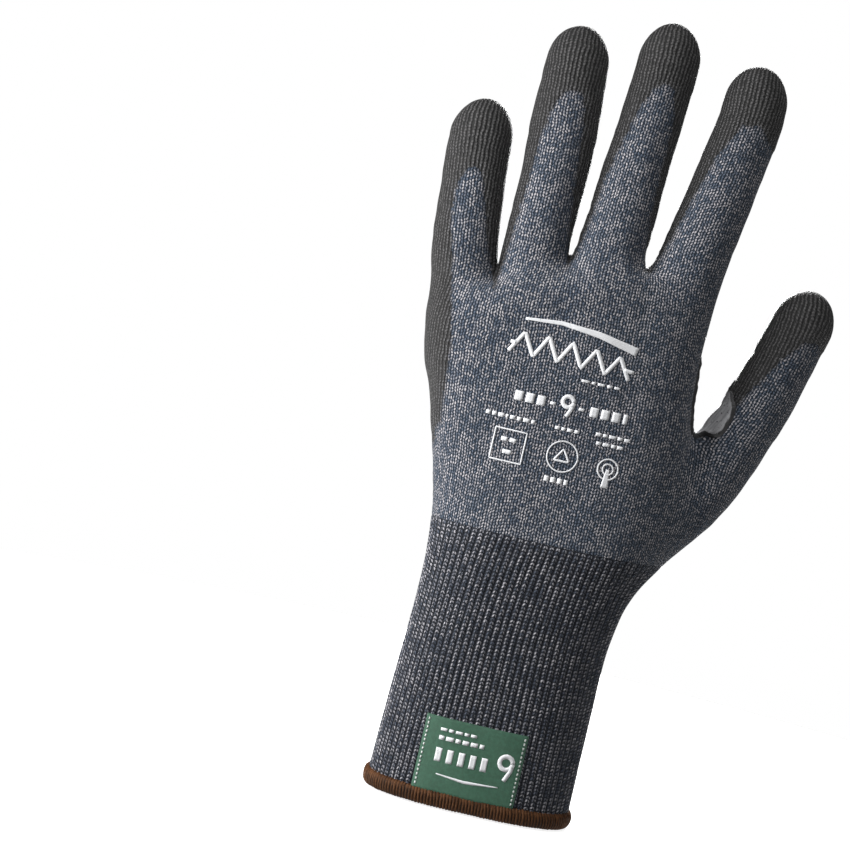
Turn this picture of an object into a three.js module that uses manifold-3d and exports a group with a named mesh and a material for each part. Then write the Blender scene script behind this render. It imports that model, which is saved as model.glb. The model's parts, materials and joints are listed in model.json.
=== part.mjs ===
// A left-hand, cut-resistant work glove of size 9: a seamless knitted liner with a ribbed cuff,
// a dipped coating on the palm side and the fingertips, a reinforced thumb crotch, elastic in the
// cuff, an overlocked hem and a woven label. Millimetres. The origin is the centre of the cuff's
// opening: +X is the thumb side, +Y the palm side and +Z runs up to the fingertips.
// The stalls are cut at the knuckles, so each piece is one that moves as a whole, and a fold of
// knit fills the room that each knuckle needs to bend.
import * as THREE from "three";
import { mergeVertices } from "three/addons/utils/BufferGeometryUtils.js";
import Module from "manifold-3d";

const wasm = await Module();
wasm.setup();

// ---- Driving dimensions ----

// Layers of the wall, as offsets from the coating's outer face.
const COAT_OUTER = 0;
const COAT_INNER = -0.5;
const KNIT_OUTER = -0.8;
const KNIT_INNER = -1.8;
const ELASTIC_OUTER = -2.1;
const ELASTIC_INNER = -2.6;
const LABEL_OUTER = -0.05;
const LABEL_INNER = -0.5;
const PATCH_OUTER = 0.8;
const PATCH_INNER = 0.3;
const HEM_OUTER = 1.2;
const HEM_INNER = -3.2;
const GAP = 0.3;

// Heights along the cuff.
const HEM_HEIGHT = 5.4;
const HEM_FOLD = 2.2;
const RIB_TOP = 87;
const DIP_LINE = 48;
const WRIST_HEIGHT = 62;
const ELASTIC_FROM = 8;
const ELASTIC_TO = 53;
const LABEL = { left: -17.5, right: 14.5, bottom: 6, top: 28 };

// Cross-sections of the cuff and hand. slope tips a section up towards the thumb side, as the
// knuckles lie.
const SECTION_SQUARENESS = 2.5;
const HAND_SIDES = 20;
const HAND_SECTIONS = [
  { z: 0, left: -31.5, right: 33, back: -21, palm: 21 },
  { z: 35, left: -30.2, right: 33.1, back: -20, palm: 20 },
  { z: 60, left: -29, right: 33.7, back: -19.5, palm: 19.5 },
  { z: 75, left: -29, right: 36.8, back: -19, palm: 20 },
  { z: 90, left: -30.5, right: 45, back: -18, palm: 21 },
  { z: 105, left: -34.5, right: 49, back: -17, palm: 20.5 },
  { z: 130, left: -40.5, right: 43.5, back: -16.5, palm: 18.5 },
  { z: 150, left: -44.5, right: 41, back: -15.2, palm: 16.5, slope: 0.1 },
  { z: 162, left: -46, right: 39.5, back: -13.5, palm: 15, slope: 0.24 },
  { z: 171, left: -40, right: 36, back: -7, palm: 9, slope: 0.3 },
];

// Finger stalls. A spine runs through root, base hinge, knuckle hinge, end hinge and tip, and
// halfWidth is given at the same places. flex holds each hinge's limits in degrees.
const STALL_SIDES = 10;
const STALL_DEPTH_SHARE = 0.9;
const PALM_WARD = [0, 1, 0];
const BASE_FLEX = [-10, 70];
const KNUCKLE_FLEX = [0, 80];
const END_FLEX = [0, 48];
const FINGER_HINGES = ["base", "knuckle", "end"];
const THUMB_HINGES = ["base", "knuckle"];
const STALLS = [
  {
    name: "index",
    spine: [[26, 1, 148], [32.7, 1.5, 189.5], [36.4, 3.8, 212], [39.2, 6.6, 229], [41, 10.5, 248]],
    halfWidth: [12, 10.6, 10.1, 9.8, 8.7],
    palmWard: PALM_WARD,
    hinges: FINGER_HINGES,
    flex: [BASE_FLEX, KNUCKLE_FLEX, END_FLEX],
  },
  {
    name: "middle",
    spine: [[4, 0.5, 148], [7.2, 1, 189.5], [8.7, 3.4, 214], [9.8, 6.4, 233], [10.5, 10.8, 254.5]],
    halfWidth: [12, 10.7, 10.1, 9.8, 8.8],
    palmWard: PALM_WARD,
    hinges: FINGER_HINGES,
    flex: [BASE_FLEX, KNUCKLE_FLEX, END_FLEX],
  },
  {
    name: "ring",
    spine: [[-16.5, 1, 142], [-16.3, 1.5, 185.5], [-16.2, 3.8, 210], [-16.6, 6.6, 228], [-17.2, 10.5, 247.5]],
    halfWidth: [12, 10.2, 10.3, 10, 8.8],
    palmWard: PALM_WARD,
    hinges: FINGER_HINGES,
    flex: [BASE_FLEX, KNUCKLE_FLEX, END_FLEX],
  },
  {
    name: "little",
    spine: [[-31.5, 2, 140], [-39.3, 3, 174], [-40.8, 4.8, 191.5], [-41.6, 7, 205], [-41.6, 9.8, 218]],
    halfWidth: [10.5, 10, 9.7, 9.2, 8.5],
    palmWard: PALM_WARD,
    hinges: FINGER_HINGES,
    flex: [BASE_FLEX, KNUCKLE_FLEX, END_FLEX],
  },
  {
    name: "thumb",
    spine: [[25, 3, 84], [47.5, 6.5, 110], [60.5, 9.5, 136.5], [66.6, 11.5, 156.5], [72.5, 14, 182.5]],
    halfWidth: [7, 13.5, 10.9, 10.3, 9.2],
    palmWard: [-0.5, 0.87, 0],
    hinges: [null, ...THUMB_HINGES],
    flex: [null, [0, 35], [0, 55]],
  },
];

// The wrist hinge runs across the cuff.
const WRIST = { point: [1.5, 0, WRIST_HEIGHT], along: [0, 0, 1], palmWard: PALM_WARD, flex: [-30, 30] };
const WRIST_HALF_WIDTH = 45;
const WRIST_HALF_DEPTH = 32;
const HINGE_SLOT = 0.8;
const STALL_SIDE_MARGIN = 1.2;
const STALL_DEPTH_MARGIN = 4;

// Outline of the back of the glove that stays uncoated, seen from the back, as [x, z]: up the
// little-finger edge, over each finger's stripe of bare knit and down into each crotch.
const BACK_DEPTH = 3;
const BARE_BACK = [
  [-60, 30], [-60, 98], [-37, 104], [-36.5, 130], [-44, 180], [-40, 198.5], [-36, 193],
  [-27.2, 161], [-23.5, 212], [-19, 228], [-14, 228], [-10.5, 212],
  [-6, 171], [2.2, 215], [6, 236], [12, 237], [16.5, 215],
  [19, 175], [31.5, 215], [36.5, 229], [42.5, 229], [60, 200],
  [58, 165], [42.5, 142], [46, 126], [52, 30],
];
const THUMB_BACK_DEPTH = 9;
const BARE_THUMB = [
  [46, 126], [53.5, 136], [57.5, 145], [66, 158.5], [71, 165.5], [78.5, 160], [95, 148], [95, 60], [30, 60],
];

// Outline of the reinforcement in the thumb crotch, seen from the back.
const PATCH_FROM_DEPTH = -3;
const PATCH = [
  [60, 136], [53, 126], [44, 124.5], [36, 129.5], [32, 140],
  [34.5, 150], [40, 155], [48, 150], [49.5, 136], [56, 144],
];

// Reach of the shapes that cut right through the glove, and how far apart points are still one.
const BEYOND_DEPTH = 80;
const BEYOND_TOP = 300;
const BELOW_HEM = 20;
const SLAB_WIDTH = 400;
const MERGE_DISTANCE = 1e-4;

// How far round each stall's rounded tip has rings.
const TIP_TURNS = [Math.PI / 6, Math.PI / 3];

// ---- Colours and finishes ----

const fabric = (color) => new THREE.MeshStandardMaterial({ color, roughness: 0.9, metalness: 0 });
const FINISH = {
  knit: fabric(0x4d5a6b),
  rib: fabric(0x343a46),
  coating: new THREE.MeshStandardMaterial({ color: 0x333435, roughness: 0.55, metalness: 0 }),
  patch: new THREE.MeshStandardMaterial({ color: 0x1f2124, roughness: 0.4, metalness: 0 }),
  hem: fabric(0x5a3a1e),
  label: new THREE.MeshStandardMaterial({ color: 0x3d7a55, roughness: 0.6, metalness: 0 }),
  elastic: fabric(0x1b1c20),
};

// ---- Solids from meshes ----

function solidFromPoints(points, triangles) {
  return new wasm.Manifold(
    new wasm.Mesh({
      numProp: 3,
      vertProperties: new Float32Array(points.flatMap((p) => [p.x, p.y, p.z])),
      triVerts: new Uint32Array(triangles.flat()),
    }),
  );
}

function solidFromGeometry(geometry) {
  geometry.deleteAttribute("normal");
  geometry.deleteAttribute("uv");
  const merged = mergeVertices(geometry, MERGE_DISTANCE);
  return new wasm.Manifold(
    new wasm.Mesh({
      numProp: 3,
      vertProperties: new Float32Array(merged.attributes.position.array),
      triVerts: new Uint32Array(merged.index.array),
    }),
  );
}

function geometryOf(solid) {
  const mesh = solid.getMesh();
  return new THREE.BufferGeometry()
    .setAttribute("position", new THREE.BufferAttribute(new Float32Array(mesh.vertProperties), 3))
    .setIndex(new THREE.BufferAttribute(new Uint32Array(mesh.triVerts), 1));
}

// A closed solid through rings of points, each ring closed off at the ends by a fan.
function loft(rings, firstPole, lastPole) {
  const sides = rings[0].length;
  const points = [...rings.flat(), firstPole, lastPole];
  const first = points.length - 2;
  const last = points.length - 1;
  const triangles = [];
  for (let side = 0; side < sides; side++) {
    const next = (side + 1) % sides;
    for (let ring = 0; ring + 1 < rings.length; ring++) {
      const low = ring * sides;
      const high = low + sides;
      triangles.push([low + side, low + next, high + next], [low + side, high + next, high + side]);
    }
    const top = (rings.length - 1) * sides;
    triangles.push([first, next, side], [last, top + side, top + next]);
  }
  return solidFromPoints(points, triangles);
}

// An outline in the XZ plane, made solid between two depths.
function prism(outline, fromDepth, toDepth) {
  const shape = new THREE.Shape(outline.map(([x, z]) => new THREE.Vector2(x, z)));
  const geometry = new THREE.ExtrudeGeometry(shape, { depth: toDepth - fromDepth, bevelEnabled: false });
  geometry.rotateX(Math.PI / 2);
  geometry.translate(0, toDepth, 0);
  return solidFromGeometry(geometry);
}

function slab(fromHeight, toHeight) {
  const geometry = new THREE.BoxGeometry(SLAB_WIDTH, SLAB_WIDTH, toHeight - fromHeight);
  geometry.translate(0, 0, (fromHeight + toHeight) / 2);
  return solidFromGeometry(geometry);
}

// ---- The glove's outer form, at any offset from the coating's face ----

const signedPower = (value, power) => Math.sign(value) * Math.abs(value) ** power;

function handRing(section, offset) {
  const { z, left, right, back, palm, slope = 0 } = section;
  const halfWidth = (right - left) / 2 + offset;
  const halfDepth = (palm - back) / 2 + offset;
  const ring = [];
  for (let side = 0; side < HAND_SIDES; side++) {
    const turn = (side / HAND_SIDES) * 2 * Math.PI;
    const x = (left + right) / 2 + halfWidth * signedPower(Math.cos(turn), 2 / SECTION_SQUARENESS);
    const y = (back + palm) / 2 + halfDepth * signedPower(Math.sin(turn), 2 / SECTION_SQUARENESS);
    ring.push(new THREE.Vector3(x, y, z + slope * x));
  }
  return ring;
}

function middleOf(ring) {
  return ring.reduce((sum, point) => sum.add(point), new THREE.Vector3()).divideScalar(ring.length);
}

// below lets the cuff run past its lower edge, so that its opening is cut clean through.
function handForm(offset, below = 0) {
  const sections = [...HAND_SECTIONS];
  if (below) sections.unshift({ ...HAND_SECTIONS[0], z: -below });
  const rings = sections.map((section) => handRing(section, offset));
  const top = middleOf(rings.at(-1));
  return loft(rings, middleOf(rings[0]), top.add(new THREE.Vector3(0, 0, 1 + offset)));
}

// The frame of a stall at a share of its spine: a point, the way along, the way to the palm and
// the axis that curls it to the palm.
function stallFrame(stall, curve, share) {
  const point = curve.getPoint(share);
  const along = curve.getTangent(share);
  const palmWard = new THREE.Vector3(...stall.palmWard);
  palmWard.addScaledVector(along, -palmWard.dot(along)).normalize();
  const axis = new THREE.Vector3().crossVectors(along, palmWard);
  return { point, along, palmWard, axis };
}

// The spine ends where the tip's rounding starts, one half-width short of the tip.
function stallCurve(stall) {
  const points = stall.spine.map((p) => new THREE.Vector3(...p));
  const tip = points.at(-1);
  const last = points.at(-2);
  tip.addScaledVector(tip.clone().sub(last).normalize(), -stall.halfWidth.at(-1));
  return new THREE.CatmullRomCurve3(points);
}

function stallRing(frame, halfWidth, halfDepth) {
  const ring = [];
  for (let side = 0; side < STALL_SIDES; side++) {
    const turn = -(side / STALL_SIDES) * 2 * Math.PI;
    ring.push(
      frame.point
        .clone()
        .addScaledVector(frame.axis, halfWidth * Math.cos(turn))
        .addScaledVector(frame.palmWard, halfDepth * Math.sin(turn)),
    );
  }
  return ring;
}

function stallForm(stall, offset) {
  const curve = stallCurve(stall);
  const spans = stall.spine.length - 1;
  const rings = [];
  stall.halfWidth.forEach((width, place) => {
    const frame = stallFrame(stall, curve, place / spans);
    rings.push(stallRing(frame, width + offset, width * STALL_DEPTH_SHARE + offset));
  });
  const end = stallFrame(stall, curve, 1);
  const tipRadius = stall.halfWidth.at(-1);
  const centre = end.point.clone();
  for (const turn of TIP_TURNS) {
    const point = centre.clone().addScaledVector(end.along, (tipRadius + offset) * Math.sin(turn));
    const shrink = Math.cos(turn);
    const across = (tipRadius + offset) * shrink;
    rings.push(stallRing({ ...end, point }, across, (tipRadius * STALL_DEPTH_SHARE + offset) * shrink));
  }
  const tip = centre.clone().addScaledVector(end.along, tipRadius + offset);
  return loft(rings, middleOf(rings[0]), tip);
}

function gloveForm(offset, below) {
  return STALLS.reduce((whole, stall) => whole.add(stallForm(stall, offset)), handForm(offset, below));
}

function layer(outer, inner, below = 0) {
  return gloveForm(outer, 0).subtract(gloveForm(inner, below));
}

// ---- Hinges ----

// A hinge's side view, as [palmward, along] pairs: a slot through the pivot that opens to the
// palm by half the flex and to the back by half the backward travel, so that the two sides of
// the joint meet at its limits.
function hingeOutline([least, most], halfDepth, slot) {
  const spread = (degrees) => slot + halfDepth * Math.tan(THREE.MathUtils.degToRad(Math.abs(degrees) / 2));
  return [
    [0, slot],
    [halfDepth, spread(most)],
    [halfDepth, -spread(most)],
    [0, -slot],
    [-halfDepth, -spread(least)],
    [-halfDepth, spread(least)],
  ];
}

function hingeSolid({ point, along, palmWard }, outline, halfWidth) {
  const shape = new THREE.Shape(outline.map(([q, s]) => new THREE.Vector2(q, s)));
  const geometry = new THREE.ExtrudeGeometry(shape, { depth: 2 * halfWidth, bevelEnabled: false });
  geometry.translate(0, 0, -halfWidth);
  const across = new THREE.Vector3().crossVectors(palmWard, along);
  geometry.applyMatrix4(new THREE.Matrix4().makeBasis(palmWard, along, across).setPosition(point));
  return solidFromGeometry(geometry);
}

// room is what the hinge leaves free, and fold the smaller space that its folding knit fills.
function makeHinge(frame, flex, halfWidth, halfDepth) {
  return {
    room: hingeSolid(frame, hingeOutline(flex, halfDepth, HINGE_SLOT), halfWidth),
    fold: hingeSolid(frame, hingeOutline(flex, halfDepth, HINGE_SLOT - GAP), halfWidth),
    line: { point: frame.point.toArray(), axis: frame.axis.toArray(), range: flex },
  };
}

function wristFrame() {
  const point = new THREE.Vector3(...WRIST.point);
  const along = new THREE.Vector3(...WRIST.along);
  const palmWard = new THREE.Vector3(...WRIST.palmWard);
  return { point, along, palmWard, axis: new THREE.Vector3().crossVectors(along, palmWard) };
}

const hinges = { wrist: makeHinge(wristFrame(), WRIST.flex, WRIST_HALF_WIDTH, WRIST_HALF_DEPTH) };
const bodyPlaces = {};
for (const stall of STALLS) {
  const curve = stallCurve(stall);
  const spans = stall.spine.length - 1;
  stall.hinges.forEach((hinge, i) => {
    if (!hinge) return;
    const name = `${stall.name}_${hinge}`;
    const frame = stallFrame(stall, curve, (i + 1) / spans);
    const halfWidth = stall.halfWidth[i + 1];
    const halfDepth = halfWidth * STALL_DEPTH_SHARE + STALL_DEPTH_MARGIN;
    hinges[name] = makeHinge(frame, stall.flex[i], halfWidth + STALL_SIDE_MARGIN, halfDepth);
    bodyPlaces[name] = curve.getPoint((i + 1.5) / spans);
  });
}
const allRooms = Object.values(hinges)
  .map((hinge) => hinge.room)
  .reduce((whole, room) => whole.add(room));

// ---- Cutting the layers into pieces ----

const centreOf = (solid) => {
  const { min, max } = solid.boundingBox();
  return new THREE.Vector3((min[0] + max[0]) / 2, (min[1] + max[1]) / 2, (min[2] + max[2]) / 2);
};

const largest = (solids) => solids.reduce((best, solid) => (solid.volume() > best.volume() ? solid : best));

// Gives each stall piece to the hinge it moves with. What moves with no stall hinge is left.
function piecesByHinge(solids) {
  const found = {};
  const rest = new Set(solids);
  for (const [hinge, place] of Object.entries(bodyPlaces)) {
    const near = solids.reduce((best, solid) =>
      centreOf(solid).distanceTo(place) < centreOf(best).distanceTo(place) ? solid : best,
    );
    found[hinge] = near;
    rest.delete(near);
  }
  return { found, rest: [...rest] };
}

const glove = new THREE.Group();

function addPiece(name, solid, finish) {
  const mesh = new THREE.Mesh(geometryOf(largest(solid.decompose())), FINISH[finish]);
  mesh.name = name;
  glove.add(mesh);
}

// Knitted liner: five stalls, the hand and the ribbed cuff.
const wholeKnit = layer(KNIT_OUTER, KNIT_INNER, BELOW_HEM).subtract(slab(-BELOW_HEM, HEM_FOLD + GAP));
const knit = wholeKnit.subtract(allRooms).subtract(slab(RIB_TOP - GAP / 2, RIB_TOP + GAP / 2));
const knitPieces = piecesByHinge(knit.decompose());
for (const [name, solid] of Object.entries(knitPieces.found)) addPiece(`${name}_knit`, solid, "knit");
addPiece("hand_knit", largest(knitPieces.rest), "knit");
const ribs = knitPieces.rest.filter((solid) => centreOf(solid).z < RIB_TOP);
addPiece("wrist_rib", largest(ribs.filter((solid) => centreOf(solid).z > WRIST_HEIGHT)), "rib");
addPiece("cuff_rib", largest(ribs.filter((solid) => centreOf(solid).z < WRIST_HEIGHT)), "rib");
for (const [name, hinge] of Object.entries(hinges)) {
  addPiece(`${name}_fold`, wholeKnit.intersect(hinge.fold), name === "wrist" ? "rib" : "knit");
}

// Dipped coating: all of the palm side down to the dip line, the finger sides and the fingertips.
const bare = prism(BARE_BACK, -BEYOND_DEPTH, BACK_DEPTH)
  .add(prism(BARE_THUMB, -BEYOND_DEPTH, THUMB_BACK_DEPTH))
  .add(slab(-BELOW_HEM, DIP_LINE));
const coating = layer(COAT_OUTER, COAT_INNER).subtract(bare).subtract(allRooms);
const coatPieces = piecesByHinge(coating.decompose());
const cuffCoats = coatPieces.rest.filter((solid) => centreOf(solid).z < WRIST_HEIGHT);
for (const [name, solid] of Object.entries(coatPieces.found)) addPiece(`${name}_coating`, solid, "coating");
addPiece("palm_coating", largest(coatPieces.rest), "coating");
addPiece("cuff_coating", largest(cuffCoats), "coating");

// Reinforcement over the coating in the thumb crotch.
const patchOutline = prism(PATCH, PATCH_FROM_DEPTH, BEYOND_DEPTH);
const patch = layer(PATCH_OUTER, PATCH_INNER).intersect(patchOutline).subtract(allRooms);
addPiece("thumb_crotch_patch", patch, "patch");

// Cuff: the laid-in elastic as one thin sleeve, the overlocked hem as a channel over the knit's
// edge, and the label on the back.
const cuffShell = (outer, inner, from, to) =>
  handForm(outer, BELOW_HEM).subtract(handForm(inner, 2 * BELOW_HEM)).intersect(slab(from, to));
addPiece("cuff_elastic", cuffShell(ELASTIC_OUTER, ELASTIC_INNER, ELASTIC_FROM, ELASTIC_TO), "elastic");
const hemFold = cuffShell(KNIT_OUTER + GAP, KNIT_INNER - GAP, HEM_FOLD, HEM_HEIGHT + 1);
addPiece("hem_binding", cuffShell(HEM_OUTER, HEM_INNER, 0, HEM_HEIGHT).subtract(hemFold), "hem");
const labelOutline = [
  [LABEL.left, LABEL.bottom],
  [LABEL.right, LABEL.bottom],
  [LABEL.right, LABEL.top],
  [LABEL.left, LABEL.top],
];
const labelShell = cuffShell(LABEL_OUTER, LABEL_INNER, 0, BEYOND_TOP);
const label = labelShell.intersect(prism(labelOutline, -BEYOND_DEPTH, 0));
addPiece("size_label", label, "label");

const hingeLines = Object.entries(hinges).map(([name, hinge]) => [name, hinge.line]);
glove.userData.hinges = Object.fromEntries(hingeLines);

export default glove;
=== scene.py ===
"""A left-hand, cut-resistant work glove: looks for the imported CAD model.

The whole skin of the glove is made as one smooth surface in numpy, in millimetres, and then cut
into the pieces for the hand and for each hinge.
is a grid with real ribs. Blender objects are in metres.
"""
import json
import math

import bpy
import numpy as np
from mathutils import Matrix, Vector
from mathutils.bvhtree import BVHTree


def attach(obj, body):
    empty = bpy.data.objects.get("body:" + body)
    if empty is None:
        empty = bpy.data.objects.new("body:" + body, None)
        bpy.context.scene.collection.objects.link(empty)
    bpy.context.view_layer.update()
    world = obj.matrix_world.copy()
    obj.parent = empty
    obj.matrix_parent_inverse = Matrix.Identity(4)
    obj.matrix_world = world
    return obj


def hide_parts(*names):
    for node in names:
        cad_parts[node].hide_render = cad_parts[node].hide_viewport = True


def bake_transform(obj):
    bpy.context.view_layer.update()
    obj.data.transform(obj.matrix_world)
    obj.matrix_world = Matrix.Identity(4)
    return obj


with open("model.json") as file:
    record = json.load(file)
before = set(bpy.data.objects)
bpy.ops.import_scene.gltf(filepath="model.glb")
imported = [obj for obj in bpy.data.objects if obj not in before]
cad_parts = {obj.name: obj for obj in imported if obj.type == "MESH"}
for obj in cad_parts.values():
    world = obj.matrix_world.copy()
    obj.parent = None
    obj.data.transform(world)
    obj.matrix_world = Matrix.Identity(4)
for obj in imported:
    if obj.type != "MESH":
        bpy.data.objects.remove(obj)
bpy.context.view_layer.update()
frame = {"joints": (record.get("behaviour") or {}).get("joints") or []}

MM = 0.001
JOINTS = {joint["name"]: joint for joint in frame["joints"]}

# ---- Driving dimensions, in millimetres ----

GRID_STEP = 1.05
KNIT_ROUNDS = 300
RIPPLE_WAVES = 9
RIPPLE_GAIN = 1.6
HALVINGS = 22
FAR = 99.0

# Heights along the cuff.
RIB_FROM = 3.0
RIB_TOP = 87.0
DIP_LINE = 50.0
GIRTH_HEIGHT = 45.0
CUFF_OVERLAP = 2.6
CUFF_DIP_OVERLAP = 0.6
CUFF_NEAR = 8.0
CUFF_FAR = 62.0
ELASTIC_HEIGHTS = np.arange(9.0, 53.0, 2.32)

# Cross-sections of the cuff and hand at each height: x of the two edges, y of back and palm.
SQUARENESS = 2.5
SECTION_HEIGHTS = (0, 35, 60, 75, 90, 105, 130, 150, 162, 180)
SECTION_LEFT = (-31.5, -30.2, -29.0, -29.0, -30.5, -34.0, -40.3, -44.6, -46.5, -47.5)
SECTION_RIGHT = (33.0, 33.1, 33.7, 36.6, 41.8, 44.2, 43.0, 40.0, 38.6, 39.5)
SECTION_BACK = (-21, -20, -19.5, -19, -18, -17, -16.5, -15.2, -14, -12.5)
SECTION_PALM = (21, 20, 19.5, 20, 21, 20.5, 18.5, 16.5, 15, 13.5)
SECTION_FLATNESS = 0.4
RING_SAMPLES = 4000

# Where the hand ends between the fingers, along its width.
HAND_END_AT = (-52, -40, -27, -6, 19, 42)
HAND_END = (150, 156, 161.5, 171, 174.5, 168)
HAND_END_ROUNDING = 10.0
HAND_END_STEEPNESS = 0.9

# The box that holds the form above the cuff.
FORM_LOW = (-56.0, -26.0, RIB_TOP - 5.0)
FORM_HIGH = (86.0, 28.0, 259.0)

STALL_DEPTH_SHARE = 0.9
STALL_REACH = 26.0
FINGER_ROOT_BLEND = 7.0
THUMB_ROOT_BLEND = 9.0
FINGER_CROTCH_BLEND = 1.5

# Finger stalls: root and tip of the spine, half-widths at the root, at the hinges and where the
# rounding of the tip starts, and the length of that rounding. lean is how far the middle of the
# stall lies from each hinge, towards the thumb, and bend holds half the length over which each
# hinge bends the fabric.
PALM_WARD = (0.0, 1.0, 0.0)
THUMB_PALM_WARD = (-0.5, 0.87, 0.0)
STALL_SHAPES = {
    "index": {
        "root": (26.6, 1, 148),
        "tip": (40.8, 10.3, 247.2),
        "widths": (12, 10.6, 10.1, 9.7),
        "tip_length": 12.5,
        "lean": (0.6, 1.0, 0.8),
        "bend": {"base": 9.0, "knuckle": 8.6, "end": 6.4},
    },
    "middle": {
        "root": (3.7, 0.5, 148),
        "tip": (11.0, 10.5, 254.2),
        "widths": (12, 10.4, 9.6, 9.5),
        "tip_length": 12.5,
        "lean": (-0.3, -0.1, 0.5),
        "bend": {"base": 9.0, "knuckle": 9.0, "end": 6.6},
    },
    "ring": {
        "root": (-16.7, 1, 142),
        "tip": (-17.4, 10.2, 247.0),
        "widths": (11.5, 9.9, 10.4, 9.8),
        "tip_length": 12.5,
        "lean": (-0.4, -0.6, -0.6),
        "bend": {"base": 9.0, "knuckle": 9.0, "end": 6.4},
    },
    "little": {
        "root": (-31.5, 2, 140),
        "tip": (-41.2, 9.6, 217.8),
        "widths": (11, 10.0, 9.8, 9.7),
        "tip_length": 13,
        "lean": (0.0, 0.1, 0.2),
        "bend": {"base": 8.2, "knuckle": 7.4, "end": 5.4},
    },
    "thumb": {
        "root": (27.0, 3, 84),
        "shoulder": (48.8, 6.5, 110),
        "tip": (74.2, 13.6, 181.7),
        "widths": (10, 11.0, 10.3, 10.2, 9.8),
        "tip_length": 12.5,
        "lean": (0.8, 0.9),
        "bend": {"base": 8.6, "knuckle": 8.4},
    },
}
SEAM_MARGIN = 1.1

# How far below its first hinge each stall's own knit begins, and its own direction of the stitches.
THUMB_KNIT_LEAD = 26.0
FINGER_KNIT_LEAD = 15.0
THUMB_GRAIN_LEAD = 30.0
FINGER_GRAIN_LEAD = 18.0

# Outline of the bare knit on the back, as [x, z] seen from the back: up the little-finger edge,
# over each finger's stripe of bare knit and down into each crotch, then down past the thumb side.
BARE_BACK = (
    (-70, 20), (-70, 96), (-35.5, 103), (-34.5, 118), (-36.5, 140), (-40.5, 160), (-45.0, 178),
    (-46.0, 188), (-43.8, 195.3), (-40.0, 196.2), (-36.6, 190), (-33.5, 178), (-27.0, 160),
    (-25.2, 178), (-24.4, 195), (-23.5, 211), (-21.6, 221.5), (-18.8, 225.6), (-13.4, 226.0),
    (-11.6, 221), (-10.0, 205), (-8.6, 188), (-6, 171), (-3.4, 184), (-1.5, 200), (1.8, 215),
    (4.8, 226), (7.8, 232.8), (11, 234.6), (14.4, 233.2), (16.2, 224), (16.0, 208), (15.8, 190),
    (18.6, 175), (23, 187), (27, 203), (31.5, 216.5), (36.8, 227.2), (42.5, 228.2), (48, 222),
    (70, 205), (70, 150), (43.2, 141), (45, 131), (51, 130.5),
    (58, 136), (95, 150), (95, 20),
)
BARE_THUMB = (
    (38, 118), (45, 129), (49.6, 129.6), (53.5, 136.3), (57.3, 144.3), (62.6, 152.7), (66.2, 158.7),
    (72.2, 166.2), (77.2, 165.8), (80.5, 161), (95, 148), (95, 40), (30, 40),
)

# Where folds fan out between the fingers and beside the thumb: each place, and how far they reach.
CROTCHES = (((-27, 2, 165), 5.5), ((-6, 2, 176), 5.5), ((19, 2, 180), 6.0), ((48, 8, 131), 7.5))

# The reinforcement in the thumb crotch, as lines of [x, y, z, reach]: a crescent on the palm side
# that is widest below the index finger, and a band that shows from the back.
PATCH_LINE = (
    (56.8, 12.5, 146, 4.0), (54.4, 12, 139.5, 6.9), (50, 11, 133.5, 7.3), (45, 10.5, 130.5, 7.6),
    (41, 9.5, 135, 8.9), (39.3, 9, 143, 9.4), (39, 9, 149, 7.9), (39.2, 8.5, 153.5, 4.6),
)
PATCH_BACK_LINE = (
    (43.5, 3, 137, 4.4), (46.5, 2, 134.8, 4.4), (50.5, 2, 134.5, 4.4), (52.6, 4.5, 139, 4.4),
    (53.2, 6.8, 142, 3.6),
)

# Thicknesses of the layers. A film starts thin at its edge, just off the knit.
KNIT_THICKNESS = 1.0
RIB_THICKNESS = 1.2
COAT_THICKNESS = 0.32
COAT_EDGE = 0.03
RIB_COAT_THICKNESS = 0.23
COAT_GAP = 0.01
PATCH_THICKNESS = 0.8
PATCH_EDGE = 0.05
PATCH_BEAD = 0.3
PATCH_GAP = 0.02

# The hem: thread wrapped over the cuff's edge.
HEM_WRAPS = 176
HEM_STEPS_PER_WRAP = 8
HEM_STEPS_AROUND = 24
HEM_RING_HEIGHT = 2.0
HEM_INSET = 0.3
HEM_MIDDLE = 2.8
HEM_TALLEST = 2.72

ELASTIC_RADIUS = 0.28
ELASTIC_DEPTH = 1.95

LABEL_BOX = {"left": -17.5, "right": 14.5, "bottom": 4.8, "top": 28.0}
LABEL_LIFT = 0.62
LABEL_THICKNESS = 0.3
LABEL_STITCH_PITCH = 1.35

# Stitches.
WALE = 0.9
DIP_WALE = 1.15
COURSE = 1.0
RIB_PITCH = 2.0
RIB_COURSE = 1.16
RIB_HEIGHT = 0.5

FLOOR_RADIUS = 420.0
FLOOR_LEVEL = -0.4
FLOOR_SIDES = 96


# ---- Numbers ----

def smoothstep(low, high, value):
    t = np.clip((value - low) / (high - low), 0.0, 1.0)
    return t * t * (3 - 2 * t)


def smooth_min(a, b, reach):
    overlap = np.maximum(reach - np.abs(a - b), 0.0) / reach
    return np.minimum(a, b) - overlap * overlap * reach * 0.25


def smooth_max(a, b, reach):
    return -smooth_min(-a, -b, reach)


def curve_through(at, stations, values):
    """A smooth curve through values at stations, read at each place in at."""
    stations = np.asarray(stations, float)
    values = np.asarray(values, float)
    slopes = np.gradient(values, stations)
    at = np.clip(at, stations[0], stations[-1])
    i = np.clip(np.searchsorted(stations, at) - 1, 0, len(stations) - 2)
    span = stations[i + 1] - stations[i]
    t = (at - stations[i]) / span
    rise = t * t * (3 - 2 * t)
    return (
        values[i] * (1 - rise)
        + values[i + 1] * rise
        + slopes[i] * span * t * (1 - t) ** 2
        - slopes[i + 1] * span * t * t * (1 - t)
    )


def unit(v):
    return v / np.maximum(np.linalg.norm(v, axis=-1, keepdims=True), 1e-9)


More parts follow.
